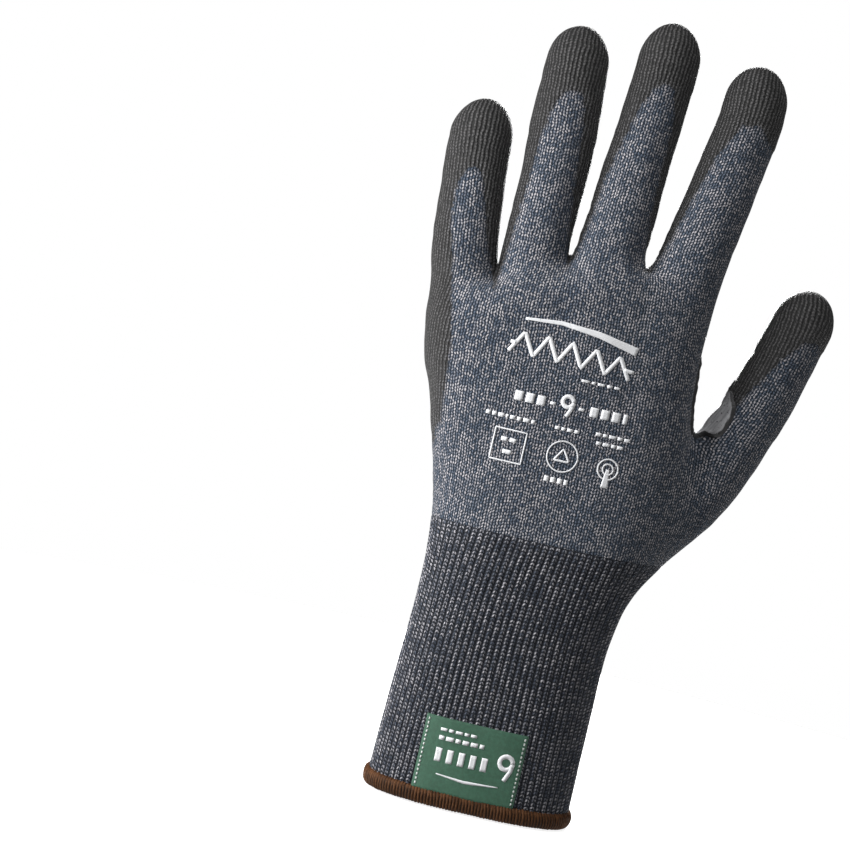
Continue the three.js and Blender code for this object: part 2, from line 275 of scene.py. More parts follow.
def arc_lengths(path):
    """How far along a path each of its points lies."""
    return np.concatenate([[0], np.cumsum(np.linalg.norm(np.diff(path, axis=0), axis=1))])


def along_path(at, lengths, path):
    """The points at given distances along a path."""
    return np.stack([np.interp(at, lengths, path[:, k]) for k in range(path.shape[1])], axis=1)


def ripple(p, wavelength, seed):
    """Smooth noise from about -1 to 1: a few plane waves in fixed directions."""
    dice = np.random.default_rng(seed)
    total = np.zeros(len(p))
    for _ in range(RIPPLE_WAVES):
        direction = unit(dice.normal(size=3))
        phase = dice.uniform(0, 2 * math.pi)
        length = wavelength * dice.uniform(0.7, 1.5)
        total += np.sin(p @ direction * (2 * math.pi / length) + phase)
    return total / RIPPLE_WAVES * RIPPLE_GAIN


# ---- The glove's form ----

def hand_section(z):
    """The middle, half-width and half-depth of the hand's section at each height."""
    left = curve_through(z, SECTION_HEIGHTS, SECTION_LEFT)
    right = curve_through(z, SECTION_HEIGHTS, SECTION_RIGHT)
    back = curve_through(z, SECTION_HEIGHTS, SECTION_BACK)
    palm = curve_through(z, SECTION_HEIGHTS, SECTION_PALM)
    return (left + right) / 2, (back + palm) / 2, (right - left) / 2, (palm - back) / 2


def hand_distance(p):
    """Roughly how far each point lies outside the hand and cuff, without the stalls."""
    middle_x, middle_y, half_width, half_depth = hand_section(p[:, 2])
    x = p[:, 0] - middle_x
    y = p[:, 1] - middle_y
    powers = np.abs(x / half_width) ** SQUARENESS + np.abs(y / half_depth) ** SQUARENESS
    grown = powers ** (1 / SQUARENESS)
    side = np.hypot(x, y) * (1 - 1 / np.maximum(grown, 1e-3))
    end = (p[:, 2] - curve_through(p[:, 0], HAND_END_AT, HAND_END)) * HAND_END_STEEPNESS
    return smooth_max(side, end, HAND_END_ROUNDING)


class Stall:
    """A finger stall: a bent tube along a spine, with a long rounded tip."""

    def __init__(self, name, shape):
        self.name = name
        self.palm = unit(np.array(THUMB_PALM_WARD if name == "thumb" else PALM_WARD))
        self.hinges = [f"{name}_{part}" for part in shape["bend"]]
        self.bend = list(shape["bend"].values())
        pivots = [np.array(JOINTS[hinge]["pos_m"]) / MM for hinge in self.hinges]
        points = [np.array(shape["root"], float)]
        if "shoulder" in shape:
            points.append(np.array(shape["shoulder"], float))
        points += [pivot + (lean, 0, 0) for pivot, lean in zip(pivots, shape["lean"])]
        points.append(np.array(shape["tip"], float))
        points = np.array(points)
        lengths = arc_lengths(points)
        tip_length = shape["tip_length"]
        radii = np.array(shape["widths"], float)
        tip_radius = radii[-1]
        rounding_from = lengths[-1] - tip_length
        stations = np.concatenate([lengths[: len(radii) - 1], [rounding_from]])
        reach = tip_length - tip_radius**2 / tip_length
        body = np.linspace(0, rounding_from, 16)
        tip = np.linspace(0, reach, 6)[1:]
        self.arc = np.concatenate([body, rounding_from + tip])
        tip_radii = tip_radius * np.sqrt(1 - tip**2 / (tip_length**2 - tip_radius**2))
        self.radii = np.concatenate([curve_through(body, stations, radii), tip_radii])
        self.spine = np.stack([curve_through(self.arc, lengths, points[:, k]) for k in range(3)], axis=1)
        self.pivots = np.array(pivots)
        axes = np.array([JOINTS[hinge]["axis"] for hinge in self.hinges])
        ahead = points[-len(pivots):] - points[-len(pivots) - 2 : -2]
        self.along = unit(ahead - axes * np.sum(ahead * axes, axis=1, keepdims=True))
        self.hinge_arc = lengths[-len(pivots) - 1 : -1]
        self.low = self.spine.min(axis=0) - STALL_REACH
        self.high = self.spine.max(axis=0) + STALL_REACH

    def stretched(self, p):
        """Depth is drawn out, so that the flattened tube can be measured as a round one."""
        return p + np.outer(p @ self.palm * (1 / STALL_DEPTH_SHARE - 1), self.palm)

    def distance(self, p):
        """Distance to the tube, and the arc along the spine, for each point."""
        q = self.stretched(p)
        spine = self.stretched(self.spine)
        nearest = np.full(len(p), 1e9)
        arc = np.zeros(len(p))
        for i in range(len(spine) - 1):
            step = spine[i + 1] - spine[i]
            t = np.clip((q - spine[i]) @ step / (step @ step), 0, 1)
            away = np.linalg.norm(q - spine[i] - t[:, None] * step, axis=1)
            away -= self.radii[i] + t * (self.radii[i + 1] - self.radii[i])
            closer = away < nearest
            nearest = np.where(closer, away, nearest)
            arc = np.where(closer, self.arc[i] + t * (self.arc[i + 1] - self.arc[i]), arc)
        return nearest, arc

    def distance_near(self, p):
        """The same, with points far from the stall left far."""
        near = np.all((p > self.low) & (p < self.high), axis=1)
        away = np.full(len(p), FAR)
        arc = np.zeros(len(p))
        if near.any():
            away[near], arc[near] = self.distance(p[near])
        return away, arc

    def ahead_of(self, i, p):
        """How far each point lies past hinge i, along the stall."""
        return (p - self.pivots[i]) @ self.along[i]

    def spine_at(self, arc):
        return along_path(arc, self.arc, self.spine)


STALLS = [Stall(name, shape) for name, shape in STALL_SHAPES.items()]
THUMB = STALLS[-1]


def glove_distance(p):
    """Distance to the whole form, negative inside it."""
    fingers = None
    for stall in STALLS[:-1]:
        away = stall.distance_near(p)[0]
        fingers = away if fingers is None else smooth_min(fingers, away, FINGER_CROTCH_BLEND)
    hand = smooth_min(hand_distance(p), fingers, FINGER_ROOT_BLEND)
    return smooth_min(hand, THUMB.distance_near(p)[0], THUMB_ROOT_BLEND)


def outward(p, reach=0.4):
    """The way out of the form at each point, and how steeply the distance grows that way."""
    steps = reach * np.eye(3)
    slope = np.stack([glove_distance(p + step) - glove_distance(p - step) for step in steps], axis=1)
    return unit(slope), np.linalg.norm(slope, axis=1) / (2 * reach)


def settle(p, rounds=2):
    """Moves points onto the form's surface."""
    for _ in range(rounds):
        normal, steepness = outward(p)
        p = p - normal * (glove_distance(p) / np.maximum(steepness, 0.5))[:, None]
    return p


# ---- Meshes as arrays ----

def vertex_normals(place, triangles):
    a, b, c = (place[triangles[:, k]] for k in range(3))
    face = np.cross(b - a, c - a)
    total = np.zeros_like(place)
    for k in range(3):
        np.add.at(total, triangles[:, k], face)
    return unit(total)


class Skin:
    """Triangles and the values that each vertex carries."""

    def __init__(self, triangles, **values):
        self.triangles = triangles
        self.values = values

    def __getattr__(self, name):
        if name in self.__dict__.get("values", {}):
            return self.values[name]
        raise AttributeError(name)

    def centres(self):
        return self.place[self.triangles].mean(axis=1)

    def clipped(self, field):
        """The part where field is positive, cut cleanly along its zero line."""
        kept = field > 0
        inside = kept[self.triangles]
        count = inside.sum(axis=1)
        size = len(field)
        whole = self.triangles[count == 3]
        mixed = np.flatnonzero((count == 1) | (count == 2))
        lone_inside = count[mixed] == 1
        odd = np.where(lone_inside, inside[mixed].argmax(axis=1), inside[mixed].argmin(axis=1))
        a, b, c = (self.triangles[mixed, (odd + k) % 3] for k in range(3))
        pairs = np.concatenate([np.stack([a, b], 1), np.stack([a, c], 1)])
        keys = pairs.min(axis=1) * size + pairs.max(axis=1)
        unique, place_in = np.unique(keys, return_inverse=True)
        first, second = unique // size, unique % size
        share = field[first] / (field[first] - field[second])
        new = size + place_in
        ab, ac = new[: len(mixed)], new[len(mixed):]
        one = lone_inside
        two = ~lone_inside
        triangles = np.concatenate([
            whole,
            np.stack([a[one], ab[one], ac[one]], 1),
            np.stack([ab[two], b[two], c[two]], 1),
            np.stack([ab[two], c[two], ac[two]], 1),
        ])
        values = {}
        for name, value in self.values.items():
            weight = share.reshape((-1,) + (1,) * (value.ndim - 1))
            values[name] = np.concatenate([value, value[first] * (1 - weight) + value[second] * weight])
        return Skin(triangles, **values).compact()

    def compact(self):
        used, triangles = np.unique(self.triangles, return_inverse=True)
        values = {name: value[used] for name, value in self.values.items()}
        return Skin(triangles.reshape(-1, 3), **values)

    def chosen(self, mask):
        return Skin(self.triangles[mask], **self.values).compact()


def surface_net(values, origin, step):
    """Quads along the zero level of a grid of distances."""
    cells = np.array(values.shape) - 1
    inside = values < 0
    corners = [np.array([i, j, k]) for i in (0, 1) for j in (0, 1) for k in (0, 1)]
    count = np.zeros(cells, np.int8)
    for i, j, k in corners:
        count += inside[i : cells[0] + i, j : cells[1] + j, k : cells[2] + k]
    active = (count > 0) & (count < 8)
    index = np.full(cells, -1)
    index[active] = np.arange(active.sum())
    spots = np.argwhere(active)
    total = np.zeros((len(spots), 3))
    crossings = np.zeros(len(spots))
    for axis in range(3):
        way = np.eye(3, dtype=int)[axis]
        for corner in corners:
            if corner[axis]:
                continue
            a = values[tuple((spots + corner).T)]
            b = values[tuple((spots + corner + way).T)]
            crossed = (a < 0) != (b < 0)
            share = np.where(crossed, a / np.where(crossed, a - b, 1), 0)
            total += np.where(crossed[:, None], spots + corner + share[:, None] * way, 0)
            crossings += crossed
    place = origin + step * total / crossings[:, None]
    quads = []
    for axis in range(3):
        u, v = (axis + 1) % 3, (axis + 2) % 3
        way = np.eye(3, dtype=int)
        here = tuple(slice(0 if k == axis else 1, cells[k]) for k in range(3))
        there = tuple(slice(1, cells[k] + (k == axis)) for k in range(3))
        a, b = inside[here], inside[there]
        offset = np.array([0 if k == axis else 1 for k in range(3)])
        for outwards in (True, False):
            edges = np.argwhere(a & ~b if outwards else ~a & b) + offset
            ring = [edges - way[u] - way[v], edges - way[v], edges, edges - way[u]]
            quad = np.stack([index[tuple(r.T)] for r in ring], axis=1)
            quads.append(quad if outwards else quad[:, ::-1])
    return place, np.concatenate(quads)


def relax(place, quads, rounds=3):
    """Evens out the vertices and keeps them on the surface."""
    edges = np.concatenate([quads[:, [k, (k + 1) % 4]] for k in range(4)])
    for _ in range(rounds):
        total = np.zeros_like(place)
        count = np.zeros(len(place))
        for a, b in ((0, 1), (1, 0)):
            np.add.at(total, edges[:, a], place[edges[:, b]])
            np.add.at(count, edges[:, a], 1)
        place = settle(place * 0.4 + total / count[:, None] * 0.6, 1)
    return place


def as_triangles(quads):
    return np.concatenate([quads[:, [0, 1, 2]], quads[:, [0, 2, 3]]])


# ---- Which body a point belongs to, and where it lies in the knit ----

def nearest_stall(p):
    """Each point's nearest stall, its distance from it, and its place along it."""
    away, arc = np.stack([stall.distance_near(p) for stall in STALLS], axis=1)
    which = away.argmin(axis=0)
    rows = np.arange(len(p))
    return which, away[which, rows], arc[which, rows]


def body_labels(p):
    """The piece that each point belongs to: 0 for the hand, then each hinge's piece in turn."""
    which, away, _ = nearest_stall(p)
    own = away < hand_distance(p)
    labels = np.zeros(len(p), int)
    first = 1
    for number, stall in enumerate(STALLS):
        mine = own & (which == number)
        for i, bend in enumerate(stall.bend):
            if i == 0:
                starts = stall.ahead_of(0, p) > -(bend + SEAM_MARGIN)
            else:
                past = stall.ahead_of(i - 1, p) - stall.bend[i - 1]
                before = -stall.ahead_of(i, p) - bend
                starts = past > before
            labels[mine & starts] = first + i
        first += len(stall.bend)
    return labels


PIECE_HINGES = [None] + [hinge for stall in STALLS for hinge in stall.hinges]


def superellipse_arc():
    """Arc length against the share of the half-width, for a hand section of unit half-width."""
    turn = np.linspace(0, math.pi / 2, 200)
    x = np.sin(turn) ** (2 / SQUARENESS)
    y = SECTION_FLATNESS * np.cos(turn) ** (2 / SQUARENESS)
    return x, arc_lengths(np.stack([x, y], axis=1))


ARC_SHARE, ARC_LENGTH = superellipse_arc()


def knit_places(p, normal):
    """Where each point lies in the knit, in millimetres across and along, on the back and on the palm."""
    middle_x, _, half_width, _ = hand_section(p[:, 2])
    x = p[:, 0] - middle_x
    share = np.clip(np.abs(x) / half_width, 0, 1)
    across = middle_x + np.sign(x) * half_width * np.interp(share, ARC_SHARE, ARC_LENGTH)
    back = np.stack([across, p[:, 2]], axis=1)
    palm = back.copy()
    which, away, arc = nearest_stall(p)
    own = smoothstep(3.0, -1.5, away - hand_distance(p))
    palm_ward = np.tile(np.array(PALM_WARD), (len(p), 1))
    for number, stall in enumerate(STALLS):
        mine = which == number
        if not mine.any():
            continue
        q = p[mine]
        spine = stall.spine_at(arc[mine])
        ahead = unit(stall.spine_at(arc[mine] + 1.0) - stall.spine_at(arc[mine] - 1.0))
        side = unit(np.cross(stall.palm, ahead))
        sideways = np.sum((q - spine) * side, axis=1)
        depth = (q - spine) @ stall.palm
        radius = np.interp(arc[mine], stall.arc, stall.radii)
        start = stall.spine_at(np.array([stall.hinge_arc[0]]))[0]
        turn_back = np.arctan2(sideways, -depth)
        turn_palm = np.arctan2(sideways, depth)
        along = arc[mine] - stall.hinge_arc[0] + start[2]
        past = stall.ahead_of(0, q)
        lead = THUMB_KNIT_LEAD if stall is THUMB else FINGER_KNIT_LEAD
        weight = (smoothstep(-lead, 1.0, past) * np.where(past > 0, 1, own[mine]))[:, None]
        own_back = np.stack([start[0] + radius * turn_back, along], axis=1)
        own_palm = np.stack([start[0] + radius * turn_palm, along], axis=1)
        back[mine] = back[mine] * (1 - weight) + own_back * weight
        palm[mine] = palm[mine] * (1 - weight) + own_palm * weight
        palm_ward[mine] = palm_ward[mine] * (1 - weight) + stall.palm * weight
    return back, palm, np.sum(normal * palm_ward, axis=1)


def knit_grain(p, normal):
    """The way the columns of stitches run at each point: up the hand, and along each stall."""
    which, away, arc = nearest_stall(p)
    own = smoothstep(4.0, -2.0, away - hand_distance(p))
    grain = np.tile(np.array((0.0, 0.0, 1.0)), (len(p), 1))
    for number, stall in enumerate(STALLS):
        mine = which == number
        ahead = unit(stall.spine_at(arc[mine] + 1.0) - stall.spine_at(arc[mine] - 1.0))
        lead = THUMB_GRAIN_LEAD if stall is THUMB else FINGER_GRAIN_LEAD
        past = stall.ahead_of(0, p[mine])
        weight = (smoothstep(-lead, 2.0, past) * np.where(past > 0, 1, own[mine]))[:, None]
        grain[mine] = grain[mine] * (1 - weight) + ahead * weight
    grain -= normal * np.sum(grain * normal, axis=1, keepdims=True)
    return unit(grain)


def lay_knit(place, triangles, normal, start, way):
    """Spreads the knit evenly over a surface: coordinates whose slopes run across and along the grain."""
    p = place[triangles]
    edges = [p[:, 2] - p[:, 1], p[:, 0] - p[:, 2], p[:, 1] - p[:, 0]]
    area = np.linalg.norm(np.cross(edges[2], -edges[1]), axis=1)
    half_cot = [-0.5 * np.sum(edges[(k + 1) % 3] * edges[(k + 2) % 3], axis=1) / area for k in range(3)]
    grain = knit_grain(place, normal)
    along = unit(grain[triangles].sum(axis=1))
    facing = unit(normal[triangles].sum(axis=1))
    across = np.cross(along, facing) * way
    size = len(place)
    pull = np.zeros((size, 2))
    ends = []
    for k in range(3):
        a, b = triangles[:, (k + 1) % 3], triangles[:, (k + 2) % 3]
        slopes = np.stack([np.sum(edges[k] * across, 1), np.sum(edges[k] * along, 1)], 1)
        flow = half_cot[k][:, None] * slopes
        for axis in range(2):
            pull[:, axis] += np.bincount(b, flow[:, axis], size) - np.bincount(a, flow[:, axis], size)
        ends.append((a, b))
    first = np.concatenate([a for a, _ in ends])
    second = np.concatenate([b for _, b in ends])
    weight = np.concatenate(half_cot)

    def spread(value):
        out = np.empty_like(value)
        for axis in range(2):
            flow = weight * (value[first, axis] - value[second, axis])
            out[:, axis] = np.bincount(first, flow, size) - np.bincount(second, flow, size)
        return out

    value = start.copy()
    rest = pull - spread(value)
    step = rest.copy()
    energy = np.sum(rest * rest, axis=0)
    for _ in range(KNIT_ROUNDS):
        spread_step = spread(step)
        gain = energy / np.maximum(np.sum(step * spread_step, axis=0), 1e-12)
        value += gain * step
        rest -= gain * spread_step
        new_energy = np.sum(rest * rest, axis=0)
        step = rest + new_energy / np.maximum(energy, 1e-12) * step
        energy = new_energy
    return value


def spread_knit(place, triangles, normal):
    """The knit's coordinates on the back and on the palm, each laid as one sheet."""
    back, palm, facing = knit_places(place, normal)
    side = facing[triangles].mean(axis=1)
    sheets = []
    for start, kept, way in ((back, side < 0.3, 1.0), (palm, side > -0.3, -1.0)):
        used, local = np.unique(triangles[kept], return_inverse=True)
        laid = lay_knit(place[used], local.reshape(-1, 3), normal[used], start[used], way)
        sheet = start.copy()
        sheet[used] = laid
        sheets.append(sheet)
    return sheets[0], sheets[1], facing


# ---- Coated and bare parts ----

def outline_distance(outline, x, z):
    """Distance to an outline, negative inside it."""
    points = np.array(outline, float)
    q = np.stack([x, z], axis=1)
    nearest = np.full(len(q), 1e9)
    inside = np.zeros(len(q), bool)
    for a, b in zip(points, np.roll(points, -1, axis=0)):
        step = b - a
        t = np.clip((q - a) @ step / (step @ step), 0, 1)
        nearest = np.minimum(nearest, np.linalg.norm(q - a - t[:, None] * step, axis=1))
        crosses = (a[1] > q[:, 1]) != (b[1] > q[:, 1])
        reach = a[0] + (q[:, 1] - a[1]) * step[0] / (step[1] if step[1] else 1e-9)
        inside ^= crosses & (q[:, 0] < reach)
    return np.where(inside, -nearest, nearest)


def coat_field(p):
    """How far inside the coated part each point lies, in millimetres, and negative on bare knit."""
    which, away, arc = nearest_stall(p)
    _, middle_y, _, _ = hand_section(p[:, 2])
    side = p[:, 1] - middle_y - 2.5
    own = smoothstep(2.0, -1.0, away - hand_distance(p))
    for number, stall in enumerate(STALLS):
        mine = which == number
        depth = np.sum((p[mine] - stall.spine_at(arc[mine])) * stall.palm, axis=1)
        side[mine] = side[mine] * (1 - own[mine]) + (depth - 0.5) * own[mine]
    on_thumb = (which == len(STALLS) - 1) & (THUMB.ahead_of(0, p) > -9)
    outline = outline_distance(BARE_BACK, p[:, 0], p[:, 2])
    outline = np.where(on_thumb, outline_distance(BARE_THUMB, p[:, 0], p[:, 2]), outline)
    field = smooth_max(outline, side, 1.5)
    rough = 0.45 * ripple(p, 5.0, 11) + 0.4 * ripple(p, 1.9, 12)
    dip = p[:, 2] - DIP_LINE - 0.9 * ripple(p, 14.0, 13) - 0.5 * ripple(p, 3.0, 14)
    return np.minimum(field + rough, dip)


def band_depth(line, p):
    """How far inside a round band each point lies, for a line of [x, y, z, reach]."""
    deepest = np.full(len(p), -1e9)
    line = np.array(line, float)
    for a, b in zip(line[:-1], line[1:]):
        step = b[:3] - a[:3]
        t = np.clip((p - a[:3]) @ step / (step @ step), 0, 1)
        reach = a[3] + (b[3] - a[3]) * t
        away = np.linalg.norm(p - a[:3] - t[:, None] * step, axis=1)
        deepest = np.maximum(deepest, reach - away)
    return deepest


def patch_field(p):
    """How far inside the thumb crotch reinforcement each point lies."""
    both = smooth_max(band_depth(PATCH_LINE, p), band_depth(PATCH_BACK_LINE, p), 1.5)
    return both + 0.25 * ripple(p, 4.0, 21)


# ---- Creases, wrinkles and lumps ----

def crease_height(p, facing):
    """How far the skin stands off the plain form."""
    height = 0.34 * ripple(p, 22.0, 31) + 0.13 * ripple(p, 8.0, 32)
    which, away, _ = nearest_stall(p)
    own = away < hand_distance(p) + 1.0
    palm_side = smoothstep(-0.1, 0.6, facing)
    for number, stall in enumerate(STALLS):
        mine = own & (which == number)
        if not mine.any():
            continue
        q = p[mine]
        for i in range(len(stall.hinges)):
            past = stall.ahead_of(i, q) + 0.8 * ripple(q, 9.0, 40 + i)
            groove = np.exp(-((past / 1.5) ** 2)) - 0.45 * np.exp(-(((past - 3.4) / 2.2) ** 2))
            height[mine] -= groove * (0.34 * palm_side[mine] + 0.08)
    for crotch, spread in CROTCHES:
        away = p - np.array(crotch)
        radius = np.hypot(away[:, 0], away[:, 2])
        turn = np.arctan2(away[:, 2], away[:, 0])
        fold = np.sin(turn * 13 + 0.35 * radius + crotch[0])
        fan = np.exp(-radius / spread) * smoothstep(0.6, 4.0, radius)
        height += 0.65 * fold * fan * (0.2 + 0.8 * palm_side)
    return height * smoothstep(RIB_TOP - 1.0, RIB_TOP + 8.0, p[:, 2])


# ---- Building the skin ----

def make_skin():
    """The hand and stalls above the cuff, with their knit, creases, coated part and patch."""
    low = np.array(FORM_LOW)
    shape = np.ceil((np.array(FORM_HIGH) - low) / GRID_STEP).astype(int) + 1
    axes = [low[k] + GRID_STEP * np.arange(shape[k]) for k in range(3)]
    distances = np.empty(shape)
    for i, x in enumerate(axes[0]):
        y, z = np.meshgrid(axes[1], axes[2], indexing="ij")
        p = np.stack([np.full(y.size, x), y.ravel(), z.ravel()], axis=1)
        distances[i] = glove_distance(p).reshape(y.shape)
    place, quads = surface_net(distances, low, GRID_STEP)
    place = relax(settle(place), quads)
    triangles = as_triangles(quads)
    normal = outward(place)[0]
    back, palm, facing = spread_knit(place, triangles, normal)
    height = crease_height(place, facing)
    skin = Skin(
        triangles,
        place=place,
        raised=place + normal * height[:, None],
        back_knit=back,
        palm_knit=palm,
        facing=facing,
        coat=coat_field(place),
        patch=patch_field(place),
    )
    skin = skin.clipped(place[:, 2] - RIB_TOP)
    skin.values["lift"] = vertex_normals(skin.raised, skin.triangles)
    return skin


def section_outline(half_width, half_depth):
    """A closed outline round a section, and how far along it each of its points lies."""
    turn = np.linspace(0, 2 * math.pi, RING_SAMPLES + 1)
    power = 2 / SQUARENESS
    x = half_width * np.sign(np.cos(turn)) * np.abs(np.cos(turn)) ** power
    y = half_depth * np.sign(np.sin(turn)) * np.abs(np.sin(turn)) ** power
    outline = np.stack([x, y], axis=1)
    return outline, arc_lengths(outline)


def even_points(outline, arc, count):
    return along_path(np.arange(count) / count * arc[-1], arc, outline)


def surface_places(way, z):
    """Where the form's surface lies in each direction from the hand's middle line."""
    middle_x, middle_y, _, _ = hand_section(z)
    near = np.full(len(z), CUFF_NEAR)
    far = np.full(len(z), CUFF_FAR)

    def place(reach):
        return np.stack([middle_x + way[:, 0] * reach, middle_y + way[:, 1] * reach, z], axis=1)

    for _ in range(HALVINGS):
        middle = (near + far) / 2
        outside = glove_distance(place(middle)) > 0
        far = np.where(outside, middle, far)
        near = np.where(outside, near, middle)
    return place(near)


def make_cuff():
    """The ribbed cuff as a grid of columns and rows on the form's surface, and its girth in ribs."""
    _, _, half_width, half_depth = (v[0] for v in hand_section(np.array([GIRTH_HEIGHT])))
    outline, arc = section_outline(half_width, half_depth)
    ribs = round(arc[-1] / RIB_PITCH)
    per_rib = 10
    columns = ribs * per_rib
    heights = np.arange(RIB_FROM, RIB_TOP + CUFF_OVERLAP, 1.0)
    rows = len(heights)
    z = np.repeat(heights, columns)
    p = surface_places(np.tile(unit(even_points(outline, arc, columns)), (rows, 1)), z)
    index = np.arange(rows * columns).reshape(rows, columns)
    beside = np.roll(index, -1, axis=1)
    corners = (index[:-1], beside[:-1], beside[1:], index[1:])
    triangles = as_triangles(np.stack([corner.ravel() for corner in corners], axis=1))
    normal = vertex_normals(p, triangles)
    across = np.tile(np.arange(columns) / per_rib * RIB_PITCH, rows)
    crest = 0.5 - 0.5 * np.cos(2 * math.pi * across / RIB_PITCH)
    fade = smoothstep(RIB_TOP + 1.0, RIB_TOP - 3.0, z)
    uneven = 1 + 0.25 * ripple(p, 9.0, 51)
    height = (crest**0.8 - 0.75) * RIB_HEIGHT * fade * uneven
    height -= 0.25 * smoothstep(RIB_TOP - 1, RIB_TOP + 0.5, z)
    knit = np.stack([across, z], axis=1)
    cuff = Skin(
        triangles,
        place=p,
        raised=p + normal * height[:, None],
        lift=normal,
        back_knit=knit,
        palm_knit=knit,
        facing=normal[:, 1],
        coat=coat_field(p),
    )
    return cuff, ribs * RIB_PITCH


# ---- Blender meshes ----

def new_object(name, vertices, faces, material, smooth=True):
    """An object of faces that all have the same number of corners, from vertices in millimetres."""
    faces = np.asarray(faces, np.int32)
    mesh = bpy.data.meshes.new(name)
    mesh.vertices.add(len(vertices))
    mesh.vertices.foreach_set("co", (np.asarray(vertices) * MM).astype(np.float32).ravel())
    mesh.loops.add(faces.size)
    mesh.loops.foreach_set("vertex_index", faces.ravel())
    mesh.polygons.add(len(faces))
    mesh.polygons.foreach_set("loop_start", np.arange(0, faces.size, faces.shape[1], dtype=np.int32))
    mesh.polygons.foreach_set("use_smooth", np.full(len(faces), smooth))
    mesh.materials.append(material)
    mesh.update(calc_edges=True)
    obj = bpy.data.objects.new(name, mesh)
    bpy.context.scene.collection.objects.link(obj)
    return obj


def set_attribute(mesh, name, values):
    """A number on each vertex, which a material reads by its name."""
    store = mesh.attributes.new(name, "FLOAT", "POINT")
    store.data.foreach_set("value", values.astype(np.float32))


def rim_edges(triangles):
    edges = np.concatenate([triangles[:, [k, (k + 1) % 3]] for k in range(3)])
    keys = edges.min(axis=1).astype(np.int64) * (triangles.max() + 1) + edges.max(axis=1)
    _, index, count = np.unique(keys, return_index=True, return_counts=True)
    return edges[index[count == 1]]


def corner_knit(skin, wrap):
    """The knit's coordinates at each triangle's corners."""
    facing = skin.facing[skin.triangles].mean(axis=1)
    on_palm = (facing > 0)[:, None, None]
    corners = np.where(on_palm, skin.palm_knit[skin.triangles], skin.back_knit[skin.triangles])
    if wrap:
        across = corners[:, :, 0]
        torn = across.max(axis=1) - across.min(axis=1) > wrap / 2
        across[torn] += wrap * (across[torn] < wrap / 2)
    return corners


def set_layers(skin, outer_rise, inner_rise):
    """Sets a skin's outer and inner surfaces, at their heights over its raised places."""
    skin.values["outer"] = skin.raised + skin.lift * np.reshape(outer_rise, (-1, 1))
    skin.values["inner"] = skin.raised + skin.lift * inner_rise
    skin.values["shade"] = vertex_normals(skin.outer, skin.triangles)


def shell(name, skin, material, attributes, wrap=None):
    """A closed shell between a skin's outer and inner surfaces, with the whole skin's shading."""
    count = len(skin.outer)
    triangles = skin.triangles
    rim = rim_edges(triangles)
    a, b = rim[:, 0], rim[:, 1]
    walls = np.concatenate([np.stack([b, a, a + count], 1), np.stack([b, a + count, b + count], 1)])
    faces = np.concatenate([triangles, triangles[:, ::-1] + count, walls])
    obj = new_object(name, np.concatenate([skin.outer, skin.inner]), faces, material)
    mesh = obj.data
    corners = corner_knit(skin, wrap)
    knit = np.concatenate([corners, corners[:, ::-1], np.zeros((len(walls), 3, 2))])
    layer = mesh.uv_layers.new(name="knit")
    layer.data.foreach_set("uv", knit.astype(np.float32).ravel())
    for attribute in attributes:
        set_attribute(mesh, attribute, np.tile(skin.values[attribute], 2))
    mesh.normals_split_custom_set_from_vertices(np.concatenate([skin.shade, -skin.shade]).tolist())
    return obj


def follow(obj, hinge):
    """Rides on the hand; a piece on a hinge only has its placement baked into its mesh."""
    if hinge is None:
        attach(obj, "hand")
        return
    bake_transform(obj)


def follow_wrist(obj):
    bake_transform(obj)


# ---- Materials ----

def arithmetic(operation, turned=False):
    """A Value's operator, which takes its two sides the other way round when turned."""
    def apply(value, other):
        sides = (other, value) if turned else (value, other)
        return value.shader.math(operation, *sides)

    return apply


class Value:
    """A node's output, which is added, subtracted, multiplied and divided as a number is."""

    __add__ = arithmetic("ADD")
    __sub__ = arithmetic("SUBTRACT")
    __rsub__ = arithmetic("SUBTRACT", turned=True)
    __mul__ = arithmetic("MULTIPLY")
    __truediv__ = arithmetic("DIVIDE")

    def __init__(self, shader, socket):
        self.shader = shader
        self.socket = socket

    def floor(self):
        return self.shader.math("FLOOR", self)

    def fraction(self):
        return self.shader.math("FRACT", self)


